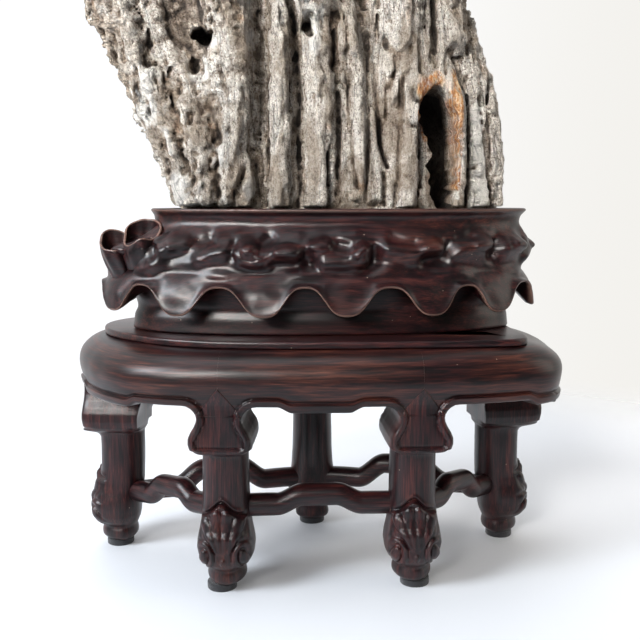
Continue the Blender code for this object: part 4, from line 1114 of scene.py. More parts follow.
BIG_HOLLOWS = (
    ((-31, -40, 210, 4), (-31, -38, 248, 6), (-30, -40, 283, 7), (-30, -42, 323, 7),
     (-44, -32, 398, 6)),
    ((-10, -40, 210, 4), (-9, -37, 258, 5), (-12, -40, 318, 4), (-22, -34, 368, 5),
     (-44, -20, 428, 4)),
    ((66, -38, 212, 7), (65, -36, 243, 8), (61, -38, 266, 6)),
    ((86, -34, 210, 4), (85, -34, 268, 4), (76, -36, 292, 5)),
    ((-64, -38, 287, 8), (-68, -40, 308, 15), (-76, -40, 343, 16), (-86, -34, 388, 10)),
    ((28, -41, 288, 5), (27, -42, 323, 8), (20, -36, 368, 6)),
    ((61, -40, 298, 4), (60, -38, 348, 5)),
    ((-72, 36, 218, 6), (-82, 38, 298, 8), (-96, 32, 368, 8), (-98, 20, 428, 6)),
    ((-30, 40, 210, 6), (-38, 42, 298, 9), (-54, 36, 378, 8)),
    ((16, 40, 210, 6), (10, 42, 288, 8), (-8, 36, 368, 8)),
    ((62, 36, 210, 6), (56, 38, 278, 7), (40, 32, 338, 7)))

# Forms worked on the front face, as (x, z, radius) paths with what each stands out (or runs in)
FRONT_FORMS = (
    (3.0, ((-102, 318, 5), (-98, 308, 5), (-94, 290, 5), (-88, 280, 4), (-83, 264, 4), (-78, 243, 4),
           (-74, 223, 4), (-73, 214, 4))),
    (5.0, ((-47, 330, 12), (-47, 318, 12), (-46, 303, 11), (-44, 288, 10), (-42, 275, 8), (-42, 267, 8),
           (-44, 257, 7), (-47, 247, 7), (-48, 239, 6))),
    (3.0, ((-41, 267, 3), (-39, 260, 2.6), (-40, 250, 2))),
    (4.0, ((-20, 335, 6), (-19, 310, 5.5), (-18, 298, 5), (-19, 280, 5.5), (-19, 257, 5), (-21, 239, 4.5),
           (-19, 226, 4.5), (-20, 213, 4.5))),
    (4.0, ((1, 276, 6), (2, 262, 6.5), (0, 247, 6), (1, 231, 6), (0, 210, 6))),
    (6.0, ((0, 296, 5), (-1, 288, 7), (2, 280, 6))),
    (5.0, ((-9, 318, 8), (-2, 324, 9), (6, 319, 8))),
    (2.6, ((15, 315, 4), (18, 299, 3.6), (21, 283, 3.6), (23, 257, 3.6), (23, 231, 3.4))),
    (3.0, ((48, 340, 9), (47, 318, 8), (44, 300, 6))), (2.4, ((40, 284, 5), (43, 270, 5))),
    (3.4, ((-73, 318, 2.4), (-73, 305, 2.2))), (4.0, ((60, 276, 6), (63, 281, 5))),
    (3.0, ((74, 280, 5), (77, 263, 5.5), (78, 242, 5.5), (78, 211, 5))),
    (3.2, ((71, 320, 6), (73, 307, 6), (72, 298, 5))), (2.2, ((92, 250, 4), (93, 230, 4), (95, 211, 4))),
    (3.0, ((98, 285, 4), (102, 262, 4.5), (106, 240, 4.5), (107, 211, 4))),
    (3.5, ((-45, 224, 7), (-39, 224, 7))), (2.6, ((-49, 241, 4), (-43, 238, 4), (-37, 237, 3.6))),
    (3.2, ((-61, 243, 5), (-60, 234, 4.6))), (3.0, ((-57, 227, 4.4), (-60, 219, 4))),
    (2.8, ((-68, 288, 5), (-66, 284, 4))), (2.8, ((-58, 290, 4.4), (-56, 284, 4))),
    (2.6, ((-58, 272, 4.6), (-55, 268, 4))), (2.4, ((-70, 262, 4.4), (-71, 256, 4))),
    (2.4, ((-66, 246, 4.4), (-68, 240, 4))), (2.0, ((33, 222, 5), (33, 240, 5), (30, 262, 4))),
    (2.2, ((52, 218, 5), (51, 240, 5), (52, 262, 5))), (2.0, ((-30, 222, 3), (-27, 250, 3), (-26, 285, 3))),
    (-4.0, ((-29, 330, 6), (-29, 308, 6), (-29, 288, 5.5), (-30, 270, 5), (-31, 252, 5), (-33, 242, 4),
            (-31, 234, 4), (-30, 220, 3.6), (-30, 210, 3.4))),
    (-3.0, ((-12, 335, 2.2), (-13, 319, 2.0), (-11, 298, 2.6), (-10, 280, 2.0), (-9, 268, 1.8),
            (-11, 252, 2.2), (-9, 234, 2.0), (-8, 223, 1.7), (-10, 211, 2.0))),
    (-6.0, ((-4, 309, 3), (-4, 301, 2.4))),
    (-4.5, ((25, 330, 4), (25, 319, 4), (26, 306, 3.4), (29, 294, 2.4))),
    (-4.5, ((19, 290, 1.6), (18, 264, 1.8), (19, 250, 1.6), (20, 236, 1.4), (22, 222, 1.3))),
    (-4.5, ((28, 292, 1.5), (28, 264, 1.7), (28, 237, 1.5), (27, 214, 1.3))),
    (-4.5, ((31, 288, 1.4), (32, 271, 1.6), (34, 254, 1.7), (36, 241, 1.8), (39, 233, 1.4))),
    (-5.0, ((46, 280, 1.6), (45, 261, 1.8), (45, 250, 1.8), (45, 232, 1.6), (44, 211, 1.8))),
    (-3.5, ((56, 262, 1.5), (57, 240, 1.6), (56, 212, 1.5))), (-3.5, ((37, 230, 1.3), (38, 212, 1.5))),
    (-3.5, ((12, 272, 1.4), (13, 250, 1.5), (12, 226, 1.4))), (-3.5, ((6, 240, 1.3), (7, 212, 1.4))),
    (-3.5, ((-25, 262, 1.4), (-25, 240, 1.6), (-26, 212, 1.5))), (-3.0, ((-14, 290, 1.3), (-15, 262, 1.4))),
    (-3.5, ((37, 298, 2), (42, 291, 2.4), (43, 284, 2), (39, 275, 1.6))),
    (-2.5, ((46, 230, 1.6), (58, 222, 1.6))),
    (-3.0, ((46, 256, 1.4), (53, 254, 1.4))), (-6.0, ((74, 296, 3), (78, 288, 3.4), (83, 275, 3))),
    (-6.0, ((84, 272, 1.8), (85, 252, 2.0), (86, 234, 2.0), (85, 210, 2.0))),
    (-5.0, ((64, 335, 2.4), (65, 307, 2.4), (67, 295, 2.2))), (-5.0, ((-90, 297, 3), (-90, 288, 3.4))),
    (-5.0, ((-75, 313, 5), (-69, 300, 8), (-66, 286, 4))), (-9.0, ((-60, 302, 4.6), (-60, 299, 4.4))),
    (-5.0, ((-64, 289, 3), (-65, 286, 2.6))), (-4.0, ((-53, 249, 4), (-52, 246, 4))),
    (-5.0, ((-54, 227, 2.4), (-53, 218, 2.2))), (-4.0, ((20, 213, 2.2), (28, 212, 2), (36, 213, 2.2))),
    (-3.5, ((-84, 250, 2.4), (-80, 232, 2.2))),
    (-4.0, ((-96, 275, 2.4), (-92, 268, 2.2))), (-3.5, ((100, 292, 1.8), (97, 268, 1.8), (99, 232, 1.7))),
    (-3.0, ((91, 272, 1.4), (96, 240, 1.4), (101, 212, 1.5))),
    (-3.0, ((70, 300, 1.6), (72, 262, 1.5), (72, 214, 1.6))),
    (-3.5, ((50, 330, 2), (52, 306, 1.8), (50, 288, 1.6))),
    (-3.5, ((8, 312, 2), (9, 296, 1.8), (8, 284, 1.5))),
    (-4.0, ((-38, 232, 1.8), (-46, 213, 2.2))), (-3.0, ((-49, 222, 1.4), (-36, 215, 1.4))))
# One deep cavity on the right and three small holes, with the depth in Y that each one goes in to
CAVITIES = (
    (((65.5, 267.5, 7.4), (66.8, 262, 8.4), (68.6, 252, 8.4), (70.6, 237, 7.0), (71.6, 220, 6.6),
      (71.8, 214, 6.4)), 8.0),
    (((-61.5, 303, 4.0), (-59.5, 300, 4.2)), -8.0), (((78, 290, 2.4), (81, 281, 2.6)), -24.0),
    (((-4, 309, 1.6), (-4, 303, 1.6)), -30.0))
SMOOTH_HOLLOW = ((-64, 296, 8), (-69, 310, 15), (-76, 330, 17), (-82, 350, 15))
FLAT_FACE = ((38, 215, 22), (40, 250, 22), (38, 285, 16))


def stone_reach(height):
    """Middle, half length and half depth of the stone at that height."""
    left = np.interp(height, STONE_LEVELS, STONE_LEFT)
    right = np.interp(height, STONE_LEVELS, STONE_RIGHT)
    return (left + right) / 2, (right - left) / 2, np.interp(height, STONE_LEVELS, STONE_DEPTH)


def rough_stone(axes):
    """Positive inside the roughed-out stone, in about millimetres from its surface."""
    x, y, z = np.meshgrid(*axes, indexing="ij")
    middle, half, depth = stone_reach(z)
    reach = (np.abs((x - middle) / half) ** 2.6 + np.abs((y - STONE_Y) / depth) ** 2.6) ** (1 / 2.6)
    slope = np.gradient(reach, axes[0][1] - axes[0][0])
    field = np.clip((1 - reach) / (np.sqrt(sum(part**2 for part in slope)) + 1e-4), -30, 30)
    for paths, sign, blend in ((BIG_RIBS, 1, 5.0), (BIG_HOLLOWS, -1, 3.0)):
        for path in paths:
            for start, end in zip(path, path[1:]):
                run = np.subtract(end[:3], start[:3])
                away = (x - start[0], y - start[1], z - start[2])
                part = np.clip(sum(a * r for a, r in zip(away, run)) / np.dot(run, run), 0, 1)
                gap = np.sqrt(sum((a - part * r) ** 2 for a, r in zip(away, run)))
                form = start[3] + (end[3] - start[3]) * part - gap
                mix = np.clip(0.5 + 0.5 * (sign * field - form) / blend, 0, 1)
                field = sign * (mix * sign * field + (1 - mix) * form + blend * mix * (1 - mix))
    return field


def finer(field, coarse, fine):
    """The coarse field read along smooth curves at the fine grid's places."""
    for axis in range(3):
        step_size = coarse[axis][1] - coarse[axis][0]
        at = (fine[axis] - coarse[axis][0]) / step_size
        low = np.clip(np.floor(at).astype(int), 1, len(coarse[axis]) - 3)
        t = at - low
        weights = np.zeros((len(at), len(coarse[axis])), np.float32)
        rows = np.arange(len(at))
        for tap, weight in ((-1, -0.5 * t + t**2 - 0.5 * t**3), (0, 1 - 2.5 * t**2 + 1.5 * t**3),
                            (1, 0.5 * t + 2 * t**2 - 1.5 * t**3), (2, -0.5 * t**2 + 0.5 * t**3)):
            weights[rows, low + tap] += weight
        field = np.moveaxis(np.tensordot(weights, field, axes=(1, axis)), 0, axis)
    return field


def drawn_forms(xs, zs, forms):
    """A map of how far listed and scattered forms stand out of a face."""
    x, z = np.meshgrid(xs, zs, indexing="ij")
    total = np.zeros_like(x)
    for lift, path in forms:
        widest = max(p[2] for p in path) * 2.2
        across = (xs > min(p[0] for p in path) - widest) & (xs < max(p[0] for p in path) + widest)
        along = (zs > min(p[1] for p in path) - widest) & (zs < max(p[1] for p in path) + widest)
        if not (across.any() and along.any()):
            continue
        cut = np.ix_(across, along)
        share = stroke(x[cut], z[cut], path)
        bump = lift * np.exp(-(share**2) * 0.9) if lift > 0 else lift * np.exp(-(share**2.4))
        total[cut] = np.where(np.abs(bump) > np.abs(total[cut]) * 0.7, bump + 0.3 * total[cut],
                              total[cut] + 0.4 * bump)
    return total


def scattered_forms(seed, count, x_from, x_to, rather_pits):
    """Short flutes, cracks and pits, scattered evenly over a face."""
    draw = np.random.default_rng(seed)
    forms = []
    for _ in range(count):
        z0 = SCATTER_FROM + SCATTER_OVER * draw.random()
        middle, half, _ = stone_reach(z0)
        x0 = x_from + (x_to - x_from) * draw.random()
        if draw.random() < rather_pits:
            radius = 1.2 + 2.2 * draw.random() ** 2
            forms.append((-1.5 - 1.6 * radius * draw.random(),
                          ((x0, z0, radius), (x0 + 1, z0 + radius, radius))))
            continue
        length = 10 + 44 * draw.random() ** 1.5
        radius = 0.8 + 1.0 * draw.random() ** 2
        lean = 0.1 * (draw.random() - 0.5)
        path = [(x0 + lean * length * k / 3 + 0.8 * (draw.random() - 0.5), z0 + length * k / 3,
                 radius * (0.45 if k in (0, 3) else 1)) for k in range(4)]
        depth = 1.0 + 1.9 * draw.random()
        forms.append((-depth if draw.random() < 0.55 else depth, tuple(path)))
    return forms


def read_map(values, xs, zs, x, z):
    """A face's map read between its points."""
    i = np.clip((x - xs[0]) / (xs[1] - xs[0]), 0, len(xs) - 1.001)
    j = np.clip((z - zs[0]) / (zs[1] - zs[0]), 0, len(zs) - 1.001)
    a, b = i.astype(int), j.astype(int)
    u, v = i - a, j - b
    return ((values[a, b] * (1 - u) + values[a + 1, b] * u) * (1 - v)
            + (values[a, b + 1] * (1 - u) + values[a + 1, b + 1] * u) * v)


def read_grid(values, places):
    """The stone's grid read at free places."""
    at = [np.clip((places[:, k] - STONE_LOW[k]) / STONE_GRID, 0, values.shape[k] - 1.001) for k in range(3)]
    low = [a.astype(int) for a in at]
    part = [a - f for a, f in zip(at, low)]
    return between(part, lambda i, j, k: values[low[0] + i, low[1] + j, low[2] + k])


def pits(x, y, z, spacing, seed):
    """Distance to the nearest of a scattered set of pit centres, in spacings."""
    size = PIT_LATTICE
    draws = np.random.default_rng(seed).random((3, size, size, size))
    at = [v / spacing for v in (x, y, z)]
    low = [np.floor(a).astype(int) for a in at]
    best = np.full(len(x), 9.0)
    for dx in (-1, 0, 1):
        for dy in (-1, 0, 1):
            for dz in (-1, 0, 1):
                cell = [f + d for f, d in zip(low, (dx, dy, dz))]
                wrapped = tuple(c % size for c in cell)
                gap = sum((cell[k] + draws[k][wrapped] - at[k]) ** 2 for k in range(3))
                best = np.minimum(best, gap)
    return np.sqrt(best)


def bedding(x, y, z):
    """The stone's own layers: across its flutes, which stand upright in the middle, and into its depth."""
    off = x - np.interp(z, (200, 300, 340, 400, 450, 480), (0, 0, -3, -18, -45, -62))
    left, right = [np.interp(z, STONE_LEVELS, side) - x + off for side in (STONE_LEFT, STONE_RIGHT)]
    flute = np.where(off < -50, -50 - 40 * (-50 - off) / np.maximum(-50 - left, 12), off)
    flute = np.where(off > 60, 60 + 40 * (off - 60) / np.maximum(right - 60, 12), flute)
    drift = 3.5 * noise(x / 34, y / 34, z / 80, 71) + 0.8 * noise(x / 9, y / 9, z / 24, 72)
    return flute + drift, y + 3.0 * noise(x / 30 + 7, y / 30, z / 70, 73)


def inside(x, z, path):
    """1 over the middle of a path, easing to 0 past its edge."""
    return np.exp(-(stroke(x, z, path) ** 4))


def crumbly_part(x, z):
    """1 over the knobbly, pitted left of the stone, and 0 over its fluted right."""
    return step((-34 - x + 0.25 * (z - 250)) / 22)


def ridges(x, y, z, seed):
    """Noise with sharp valleys, for anything that is split by narrow grooves."""
    return np.abs(noise(x, y, z, seed)) - 0.25


def stone_field():
    """The finished stone on the fine grid: rough form, flutes, cracks, knobs and cavities."""
    fine = [np.arange(a, b, STONE_GRID) for a, b in zip(STONE_LOW, STONE_HIGH)]
    coarse = [np.arange(a - 9, b + 14, COARSE_GRID) for a, b in zip(STONE_LOW, STONE_HIGH)]
    rough = rough_stone(coarse)
    field = finer(rough, coarse, fine).astype(np.float32)
    slopes = np.gradient(rough, COARSE_GRID)
    steep = np.sqrt(sum(s**2 for s in slopes)) + 1e-3
    steepness = finer(np.clip(steep, 0.2, 1.0), coarse, fine).astype(np.float32)
    facing_side, facing_front = [finer(np.clip(slopes[k] / steep, -1, 1), coarse, fine).astype(np.float32)
                                 for k in (0, 1)]
    near = np.flatnonzero(np.abs(field.ravel()) < 9.5)
    i, j, k = np.unravel_index(near, field.shape)
    x, y, z = fine[0][i], fine[1][j], fine[2][k]
    front = np.clip(facing_front.ravel()[near] * 1.7, 0, 1)
    back = np.clip(-facing_front.ravel()[near] * 1.7, 0, 1)
    side = np.clip(np.abs(facing_side.ravel()[near]) * 1.6 - 0.5, 0, 1)
    fan, deep = bedding(x, y, z)
    pitted = crumbly_part(x, z) * 0.68 + 0.32
    calm = front * inside(x, z, FLAT_FACE) * 0.55
    calm = np.maximum(calm, front * hump(stroke(x, z, SMOOTH_HOLLOW), 1) * 0.75)
    fluted = (1.15 - 0.45 * pitted) * (1 - calm)
    knobbly = pitted * (1 - calm)

    flutes = ridges(fan / 6.4, deep / 6.4, z / 52, 74)
    cracks = noise(fan / 9.5, deep / 9.5, z / 75, 75)
    fine_cracks = noise(fan / 4.8, deep / 4.8, z / 40, 76)
    relief = 2.8 * flutes * fluted
    relief = relief - 3.2 * hump(cracks, 0.065) * fluted
    relief = relief - 1.7 * hump(fine_cracks, 0.08) * (1.1 - 0.5 * pitted)
    bends = 2.4 * noise(x / 9, y / 9, z / 11, 88)
    crags = ridges((x + bends) / 7.0, y / 7.0, (z - bends) / 8.6, 77)
    knobs = ridges((x - bends) / 3.9, (y + bends) / 3.9, z / 5.0, 89)
    relief = relief + 4.4 * crags * knobbly + 2.8 * knobs * (0.9 * knobbly + 0.55 * (1 - calm))
    lumps = ridges((fan + 0.6 * bends) / 6.2, deep / 6.2, (z - bends) / 12.5, 97)
    relief = relief + 4.0 * lumps * (1 - knobbly) * (1 - calm)
    relief = relief + 1.1 * noise(fan / 2.7, deep / 2.7, z / 15, 78) * (1 - 0.6 * pitted)
    relief = relief + 0.9 * noise(x / 2.5, y / 2.5, z / 3.2, 90) * (1 - 0.5 * calm)
    holes = pits(x + bends, y, (z + bends) / 1.5, 8.6, 79)
    relief = relief - 2.6 * np.clip(1 - holes / 0.27, 0, 1) ** 0.7 * step((knobbly - 0.4) / 0.4)
    ledges = noise(x / 22, y / 22, z / 5.5, 81)
    relief = relief - 1.3 * hump(ledges, 0.06)

    xs, zs = np.arange(-160, 131, MAP_STEP), np.arange(198, 490, MAP_STEP)
    on_face = scattered_forms(82, 90, -150, -40, 0.12) + scattered_forms(83, 150, -45, 125, 0.04)
    face = drawn_forms(xs, zs, on_face + list(FRONT_FORMS))
    rear = drawn_forms(xs, zs, scattered_forms(84, 260, -150, 125, 0.12))
    flank = drawn_forms(xs, zs, scattered_forms(85, 150, -60, 60, 0.12))
    worn = 1 - 0.75 * inside(x, z, SMOOTH_HOLLOW)
    relief = relief + front * worn * read_map(face, xs, zs, x, z)
    relief = relief + back * 1.2 * read_map(rear, xs, zs, x, z)
    relief = relief + side * (1 - front) * (1 - back) * read_map(flank, xs, zs, y, z)
    flat = field.ravel()
    flat[near] += (relief * steepness.ravel()[near] ** 1.5).astype(np.float32)
    field = flat.reshape(field.shape)

    low_z = fine[2][None, None, :]
    mid, half_x, half_y = stone_reach(STONE_BOTTOM + 6)
    foot = 1 - np.hypot((fine[0][:, None, None] - mid) / (half_x - 0.6),
                        (fine[1][None, :, None] - STONE_Y) / (half_y - 0.6))
    foot = foot * half_y + np.clip(low_z - SEATED_TO, 0, None) * 9
    field = np.minimum(field, foot.astype(np.float32))
    x2, z2 = np.meshgrid(fine[0], fine[2], indexing="ij")
    for path, floor_y in CAVITIES:
        away, (radius,) = near_path(x2, z2, path)
        chips = 2.2 * noise(x2 / 5, z2 / 6, x2 * 0, 86) + 1.3 * noise(x2 / 2.2, z2 / 3.0, x2 * 0, 98)
        walls = (away - radius + chips)[:, None, :]
        behind = fine[1][None, :, None] - floor_y - 2.5 * noise(x2 / 6, z2 / 9, x2 * 0, 87)[:, None, :]
        field = np.minimum(field, np.maximum(walls, behind).astype(np.float32))
    ends = np.minimum(low_z - STONE_BOTTOM, STONE_TOP - low_z)
    return np.minimum(field, ends).astype(np.float32)


def skin_of(field):
    """Quads over the zero surface: one point in each grid cell that the surface crosses."""
    shape = np.array(field.shape)
    sums, counts = np.zeros((shape.prod(), 3), np.float32), np.zeros(shape.prod(), np.float32)
    quads = []
    for axis in range(3):
        near_part, far_part = [slice(None)] * 3, [slice(None)] * 3
        near_part[axis], far_part[axis] = slice(0, -1), slice(1, None)
        before, after = field[tuple(near_part)], field[tuple(far_part)]
        at = np.argwhere((before > 0) != (after > 0))
        first = before[tuple(at.T)]
        point = at.astype(float)
        point[:, axis] += first / (first - after[tuple(at.T)])
        u, v = (axis + 1) % 3, (axis + 2) % 3
        around = []
        for du, dv in ((1, 1), (0, 1), (0, 0), (1, 0)):
            cell = at.copy()
            cell[:, u] -= du
            cell[:, v] -= dv
            flat = np.ravel_multi_index(cell.T, shape)
            for k in range(3):
                sums[:, k] += np.bincount(flat, point[:, k], len(counts))
            counts += np.bincount(flat, minlength=len(counts))
            around.append(flat)
        around = np.stack(around, axis=1)
        quads.append(np.where((first > 0)[:, None], around, around[:, ::-1]))
    used = counts > 0
    index = np.cumsum(used) - 1
    places = np.array(STONE_LOW) + STONE_GRID * sums[used] / counts[used][:, None]
    return places, index[np.concatenate(quads)]


def unpinched(field):
    """The field with solid corners joined wherever two would meet only across a diagonal."""
    for _ in range(6):
        changed = 0
        for axis in range(3):
            flat = np.moveaxis(field, axis, 0)
            solid_now = flat > 0
            a, b = solid_now[:, :-1, :-1], solid_now[:, 1:, 1:]
            c, d = solid_now[:, :-1, 1:], solid_now[:, 1:, :-1]
            pinch = a & b & ~c & ~d
            flat[:, :-1, 1:][pinch] = 0.2
            pinch_too = ~a & ~b & c & d
            flat[:, :-1, :-1][pinch_too] = 0.2
            changed += int(pinch.sum()) + int(pinch_too.sum())
        if not changed:
            break
    return field


def main_body(points, quads):
    """The largest joined part of the skin: loose crumbs and closed bubbles are left out."""
    label = np.arange(len(points))
    edges = np.concatenate([quads[:, [0, 1]], quads[:, [1, 2]], quads[:, [2, 3]], quads[:, [3, 0]]])
    while True:
        least = np.minimum(label[edges[:, 0]], label[edges[:, 1]])
        fresh = label.copy()
        np.minimum.at(fresh, edges[:, 0], least)
        np.minimum.at(fresh, edges[:, 1], least)
        fresh = fresh[fresh]
        if (fresh == label).all():
            break
        label = fresh
    keep = label == np.bincount(label).argmax()
    index = np.cumsum(keep) - 1
    return points[keep], index[quads[keep[quads[:, 0]]]]


def softened(solid_share, reach):
    """A running mean of the grid over that many cells to each side, along all three ways."""
    for axis in range(3):
        flat = np.moveaxis(solid_share, axis, 0)
        padded = np.concatenate([np.repeat(flat[:1], reach + 1, 0), flat, np.repeat(flat[-1:], reach, 0)])
        total = np.cumsum(padded, axis=0, dtype=np.float32)
        means = (total[2 * reach + 1:] - total[:-2 * reach - 1]) / (2 * reach + 1)
        solid_share = np.moveaxis(means, 0, axis)
    return solid_share


stone_grid = unpinched(stone_field())
stone_points, stone_quads = main_body(*skin_of(stone_grid))

limestone, tree, shader = blank_material("weathered_limestone")
layers = put(tree, "Attribute", attribute_name="bedding").outputs["Vector"]


def stone_noise(scale, stretch, detail, rough, warp=0.0):
    """Noise in the stone's own layers, drawn out along its height."""
    return figure_noise(tree, layers, (scale, scale, scale / stretch), detail, rough, warp)


def measured(name, low, high):
    """How far a value kept on the stone's points lies from one bound to the other, from 0 to 1."""
    kept = put(tree, "Attribute", attribute_name=name)
    return put(tree, "MapRange", {"Value": kept.outputs["Fac"], "From Min": low,
                                  "From Max": high}).outputs["Result"]


def above(value, floor, gain):
    """How far a value stands over a floor, from 0 to 1."""
    return times(tree, maths(tree, "SUBTRACT", value, floor), gain, True)


def hairlines(pattern, width):
    """1 on thin broken lines where the pattern crosses its middle, 0 beside them."""
    off = maths(tree, "ABSOLUTE", maths(tree, "SUBTRACT", pattern, 0.5), 0.0)
    return maths(tree, "SUBTRACT", 1.0, maths(tree, "DIVIDE", off, width, True), True)


def weighed(*parts):
    """The sum of (value, weight) pairs."""
    total = 0.0
    for value, weight in parts:
        total = plus(tree, times(tree, value, weight), total)
    return total


# Patterns: streaks along the layers, clouds, grit, crumbling, three kinds of crack and rounded knobs
reeding = stone_noise(430, 5.0, 6, 0.72, 0.3)
fine_reeding = stone_noise(1300, 3.0, 3, 0.65)
clouds = stone_noise(55, 2.6, 4, 0.6, 0.5)
grit = stone_noise(1300, 1.2, 3, 0.7)
crumble = stone_noise(420, 1.5, 5, 0.68, 0.3)
patchy = above(clouds, 0.36, 5.0)
long_cracks = times(tree, hairlines(stone_noise(135, 9, 3, 0.5), 0.024), patchy)
short_cracks = times(tree, hairlines(stone_noise(300, 5, 4, 0.6, 0.4), 0.022), patchy)
cross_cracks = hairlines(stone_noise(60, 0.8, 5, 0.55, 0.6), 0.006)
knob_drift = put(tree, "TexNoise", {"Vector": layers, "Scale": 160})
knob_bend = put(tree, "VectorMath", {0: knob_drift.outputs["Color"], 1: (0.004, 0.004, 0.004), 2: layers},
                operation="MULTIPLY_ADD")
knob_cells = put(tree, "TexVoronoi", {"Vector": knob_bend.outputs[0], "Scale": 250, "Randomness": 1.0})
knob_gaps = times(tree, above(knob_cells.outputs["Distance"], 0.42, 3.2), measured("knobbly", -0.9, 0.9))

# Colour: grey-brown stone, with painted light on its open ridges, stained in clouds and speckled; then
# white calcite, rust, painted shade in its crevices and hollows, and last the cracks
body = weighed((reeding, 0.26), (fine_reeding, 0.14), (clouds, 0.16), (grit, 0.18), (crumble, 0.26),
               (knob_gaps, -0.07))
colour = ramp(tree, body, ((0.385, (0.250, 0.200, 0.165)), (0.430, (0.500, 0.425, 0.360)),
                           (0.475, (0.790, 0.720, 0.645)), (0.535, (0.970, 0.930, 0.870))))
# Painted light: where the stone lies open, on its ridges, the colour is tinted paler.
ridge_light = times(tree, measured("occlusion_shade", 0.50, 0.30), 0.55, True)
colour = tinted(tree, colour, (0.90, 0.84, 0.75), ridge_light)
stain = ramp(tree, clouds, ((0.42, (0.60, 0.55, 0.50)), (0.54, (1.0, 1.0, 1.0))))
colour = tinted(tree, colour, stain, 1.0, "MULTIPLY")
speckle = ramp(tree, stone_noise(1150, 1.3, 3, 0.75),
               ((0.37, (0.34, 0.30, 0.27)), (0.46, (0.86, 0.835, 0.81)), (0.54, (1.0, 1.0, 1.0))))
speckled = plus(tree, times(tree, patchy, 0.55), 0.45, True)
colour = tinted(tree, colour, speckle, speckled, "MULTIPLY")
calcite = times(tree, measured("calcite", 0.30, 0.60), times(tree, crumble, 2.4), True)
colour = tinted(tree, colour, (1.0, 0.965, 0.91), times(tree, calcite, 0.8))
rust_tone = ramp(tree, reeding, ((0.44, (0.34, 0.125, 0.045)), (0.52, (0.66, 0.30, 0.10)),
                                 (0.60, (0.82, 0.60, 0.38))))
rust = times(tree, measured("rust", 0.35, 0.85), above(crumble, 0.34, 6.0), True)
colour = tinted(tree, colour, rust_tone, rust)
# Painted shade: the more the stone closes round a point, the darker its colour, down to near black in
# crevices, slots and holes.
crevice_shade = ramp(tree, measured("occlusion_shade", 0.52, 0.76),
            ((0.0, (1, 1, 1)), (0.35, (0.68, 0.62, 0.56)), (0.7, (0.32, 0.275, 0.24)),
             (1.0, (0.085, 0.070, 0.062))))
colour = tinted(tree, colour, crevice_shade, 1.0, "MULTIPLY")
cracked = maths(tree, "MAXIMUM", long_cracks, times(tree, short_cracks, 0.5))
cracked = maths(tree, "MAXIMUM", cracked, times(tree, cross_cracks, 0.7))
colour = tinted(tree, colour, (0.060, 0.048, 0.040), times(tree, cracked, 0.66))
polish = put(tree, "MapRange", {"Value": grit, "To Min": 0.60, "To Max": 0.95})
weathering = put(tree, "Bump", {"Strength": 1.0, "Distance": 0.0045, "Height": weighed(
    (reeding, 0.60), (fine_reeding, 0.30), (grit, 1.25), (crumble, 1.7), (long_cracks, -0.22),
    (short_cracks, -0.10), (cross_cracks, -0.14), (knob_gaps, -0.45))})
joined(tree, shader, {"Base Color": colour, "Roughness": polish.outputs["Result"],
                      "Specular IOR Level": 0.35, "Normal": weathering.outputs["Normal"]})

stone = solid("weathered_stone", stone_points, stone_quads, limestone, "rock", 180)
thin = stone.modifiers.new("even_facets", "DECIMATE")
thin.ratio = STONE_TRIANGLES / (2 * len(stone_quads))
thinned = bpy.data.meshes.new_from_object(stone.evaluated_get(bpy.context.evaluated_depsgraph_get()))
stone.modifiers.clear()
stone.data = thinned
thinned.validate()
swept = bmesh.new()
swept.from_mesh(thinned)
flakes = [face for face in swept.faces if all(edge.is_boundary for edge in face.edges)]
bmesh.ops.delete(swept, geom=flakes, context="FACES")
swept.to_mesh(thinned)
swept.free()
places = places_of(thinned) / MM + np.array([*MIDDLE, 0.0])
# How closely the stone closes round each point. Its material uses this to paint shade in crevices and
# hollows, and painted light on open ridges.
solid_share = (stone_grid > 0).astype(np.float32)
tight = read_grid(softened(softened(solid_share, 1), 2), places)
wide = read_grid(softened(softened(solid_share, 4), 4), places)
occlusion_shade = 0.62 * tight + 0.38 * wide
px, py, pz = places.T
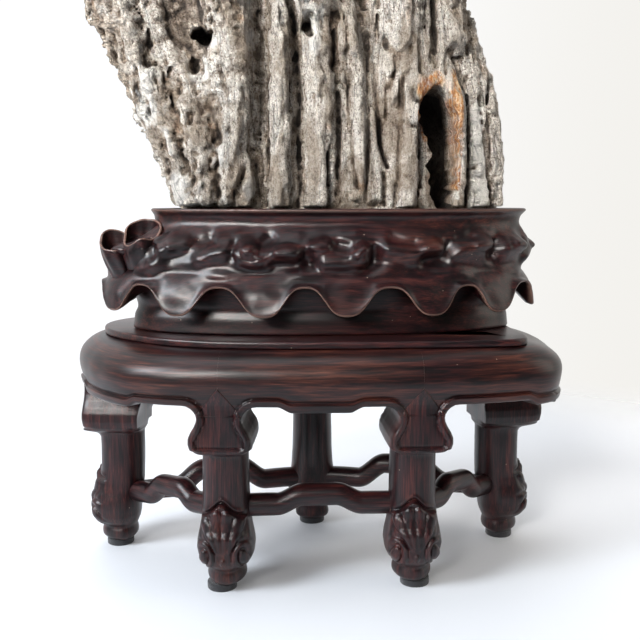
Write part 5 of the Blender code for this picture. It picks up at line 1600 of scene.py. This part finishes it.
# Painted shade: more darkness inside the deep cavity and inside the small hole.
cavity_shade = np.clip(1.2 - stroke(px, pz, CAVITIES[0][0]), 0, 0.2) * 5 * step((py + 33) / 6) * (py < 12)
hole_shade = np.clip(1.3 - stroke(px, pz, CAVITIES[1][0]), 0, 0.3) / 0.3 * step((py + 32) / 8) * (py < 0)
seen_front = np.clip((-py - 4) / 8, 0, 1)
occlusion_shade = occlusion_shade + np.maximum(0.30 * cavity_shade, 0.2 * hole_shade)
# Painted shade over the smooth hollow on the front face.
occlusion_shade = occlusion_shade + 0.16 * inside(px, pz, SMOOTH_HOLLOW) * seen_front
white = noise(px / 9, py / 9, pz / 20, 91) * 0.5 + 0.25 * noise(px / 3, py / 3, pz / 6, 92)
rusty = noise(px / 8, py / 8, pz / 14, 93) * 0.5 + 0.2 * noise(px / 3, py / 3, pz / 4, 94)
CALCITE_BANDS = (
    (1.0, ((90, 265, 4.5), (91, 242, 5), (91, 211, 5))), (0.6, ((-75, 224, 6), (-76, 216, 5))),
    (0.7, ((-98, 276, 5), (-92, 260, 5))), (0.7, ((-2, 312, 7), (-1, 296, 4))),
    (0.8, ((79, 240, 2), (78, 216, 2))), (0.34, ((-72, 280, 17), (-66, 222, 17))))
RUST_BANDS = (((66, 280, 4), (58, 274, 3)), ((56.5, 272, 2.4), (58, 262, 2.4), (61, 248, 2.0)),
              ((76.0, 270, 2.6), (77.5, 252, 3.2), (77.5, 222, 2.8)), ((76, 284, 2.2), (76.5, 268, 2.4)))
for strength, band in CALCITE_BANDS:
    white = white + strength * hump(stroke(px, pz, band), 1) * seen_front
for band in RUST_BANDS:
    rusty = rusty + 1.25 * hump(stroke(px, pz, band), 1) * seen_front
# Less painted shade where rust and calcite lie, so that their colours show.
occlusion_shade = occlusion_shade - 0.16 * np.clip(rusty - 0.45, 0, 1) - 0.05 * np.clip(white - 0.3, 0, 1)
knobbly = crumbly_part(px, pz)
for name, values in (("occlusion_shade", occlusion_shade), ("calcite", white), ("rust", rusty), ("knobbly", knobbly)):
    keep_on(thinned, name, values)
fan, deep = bedding(px, py, pz)
keep_on(thinned, "bedding", np.column_stack([fan, 0.45 * deep, pz]) * MM)
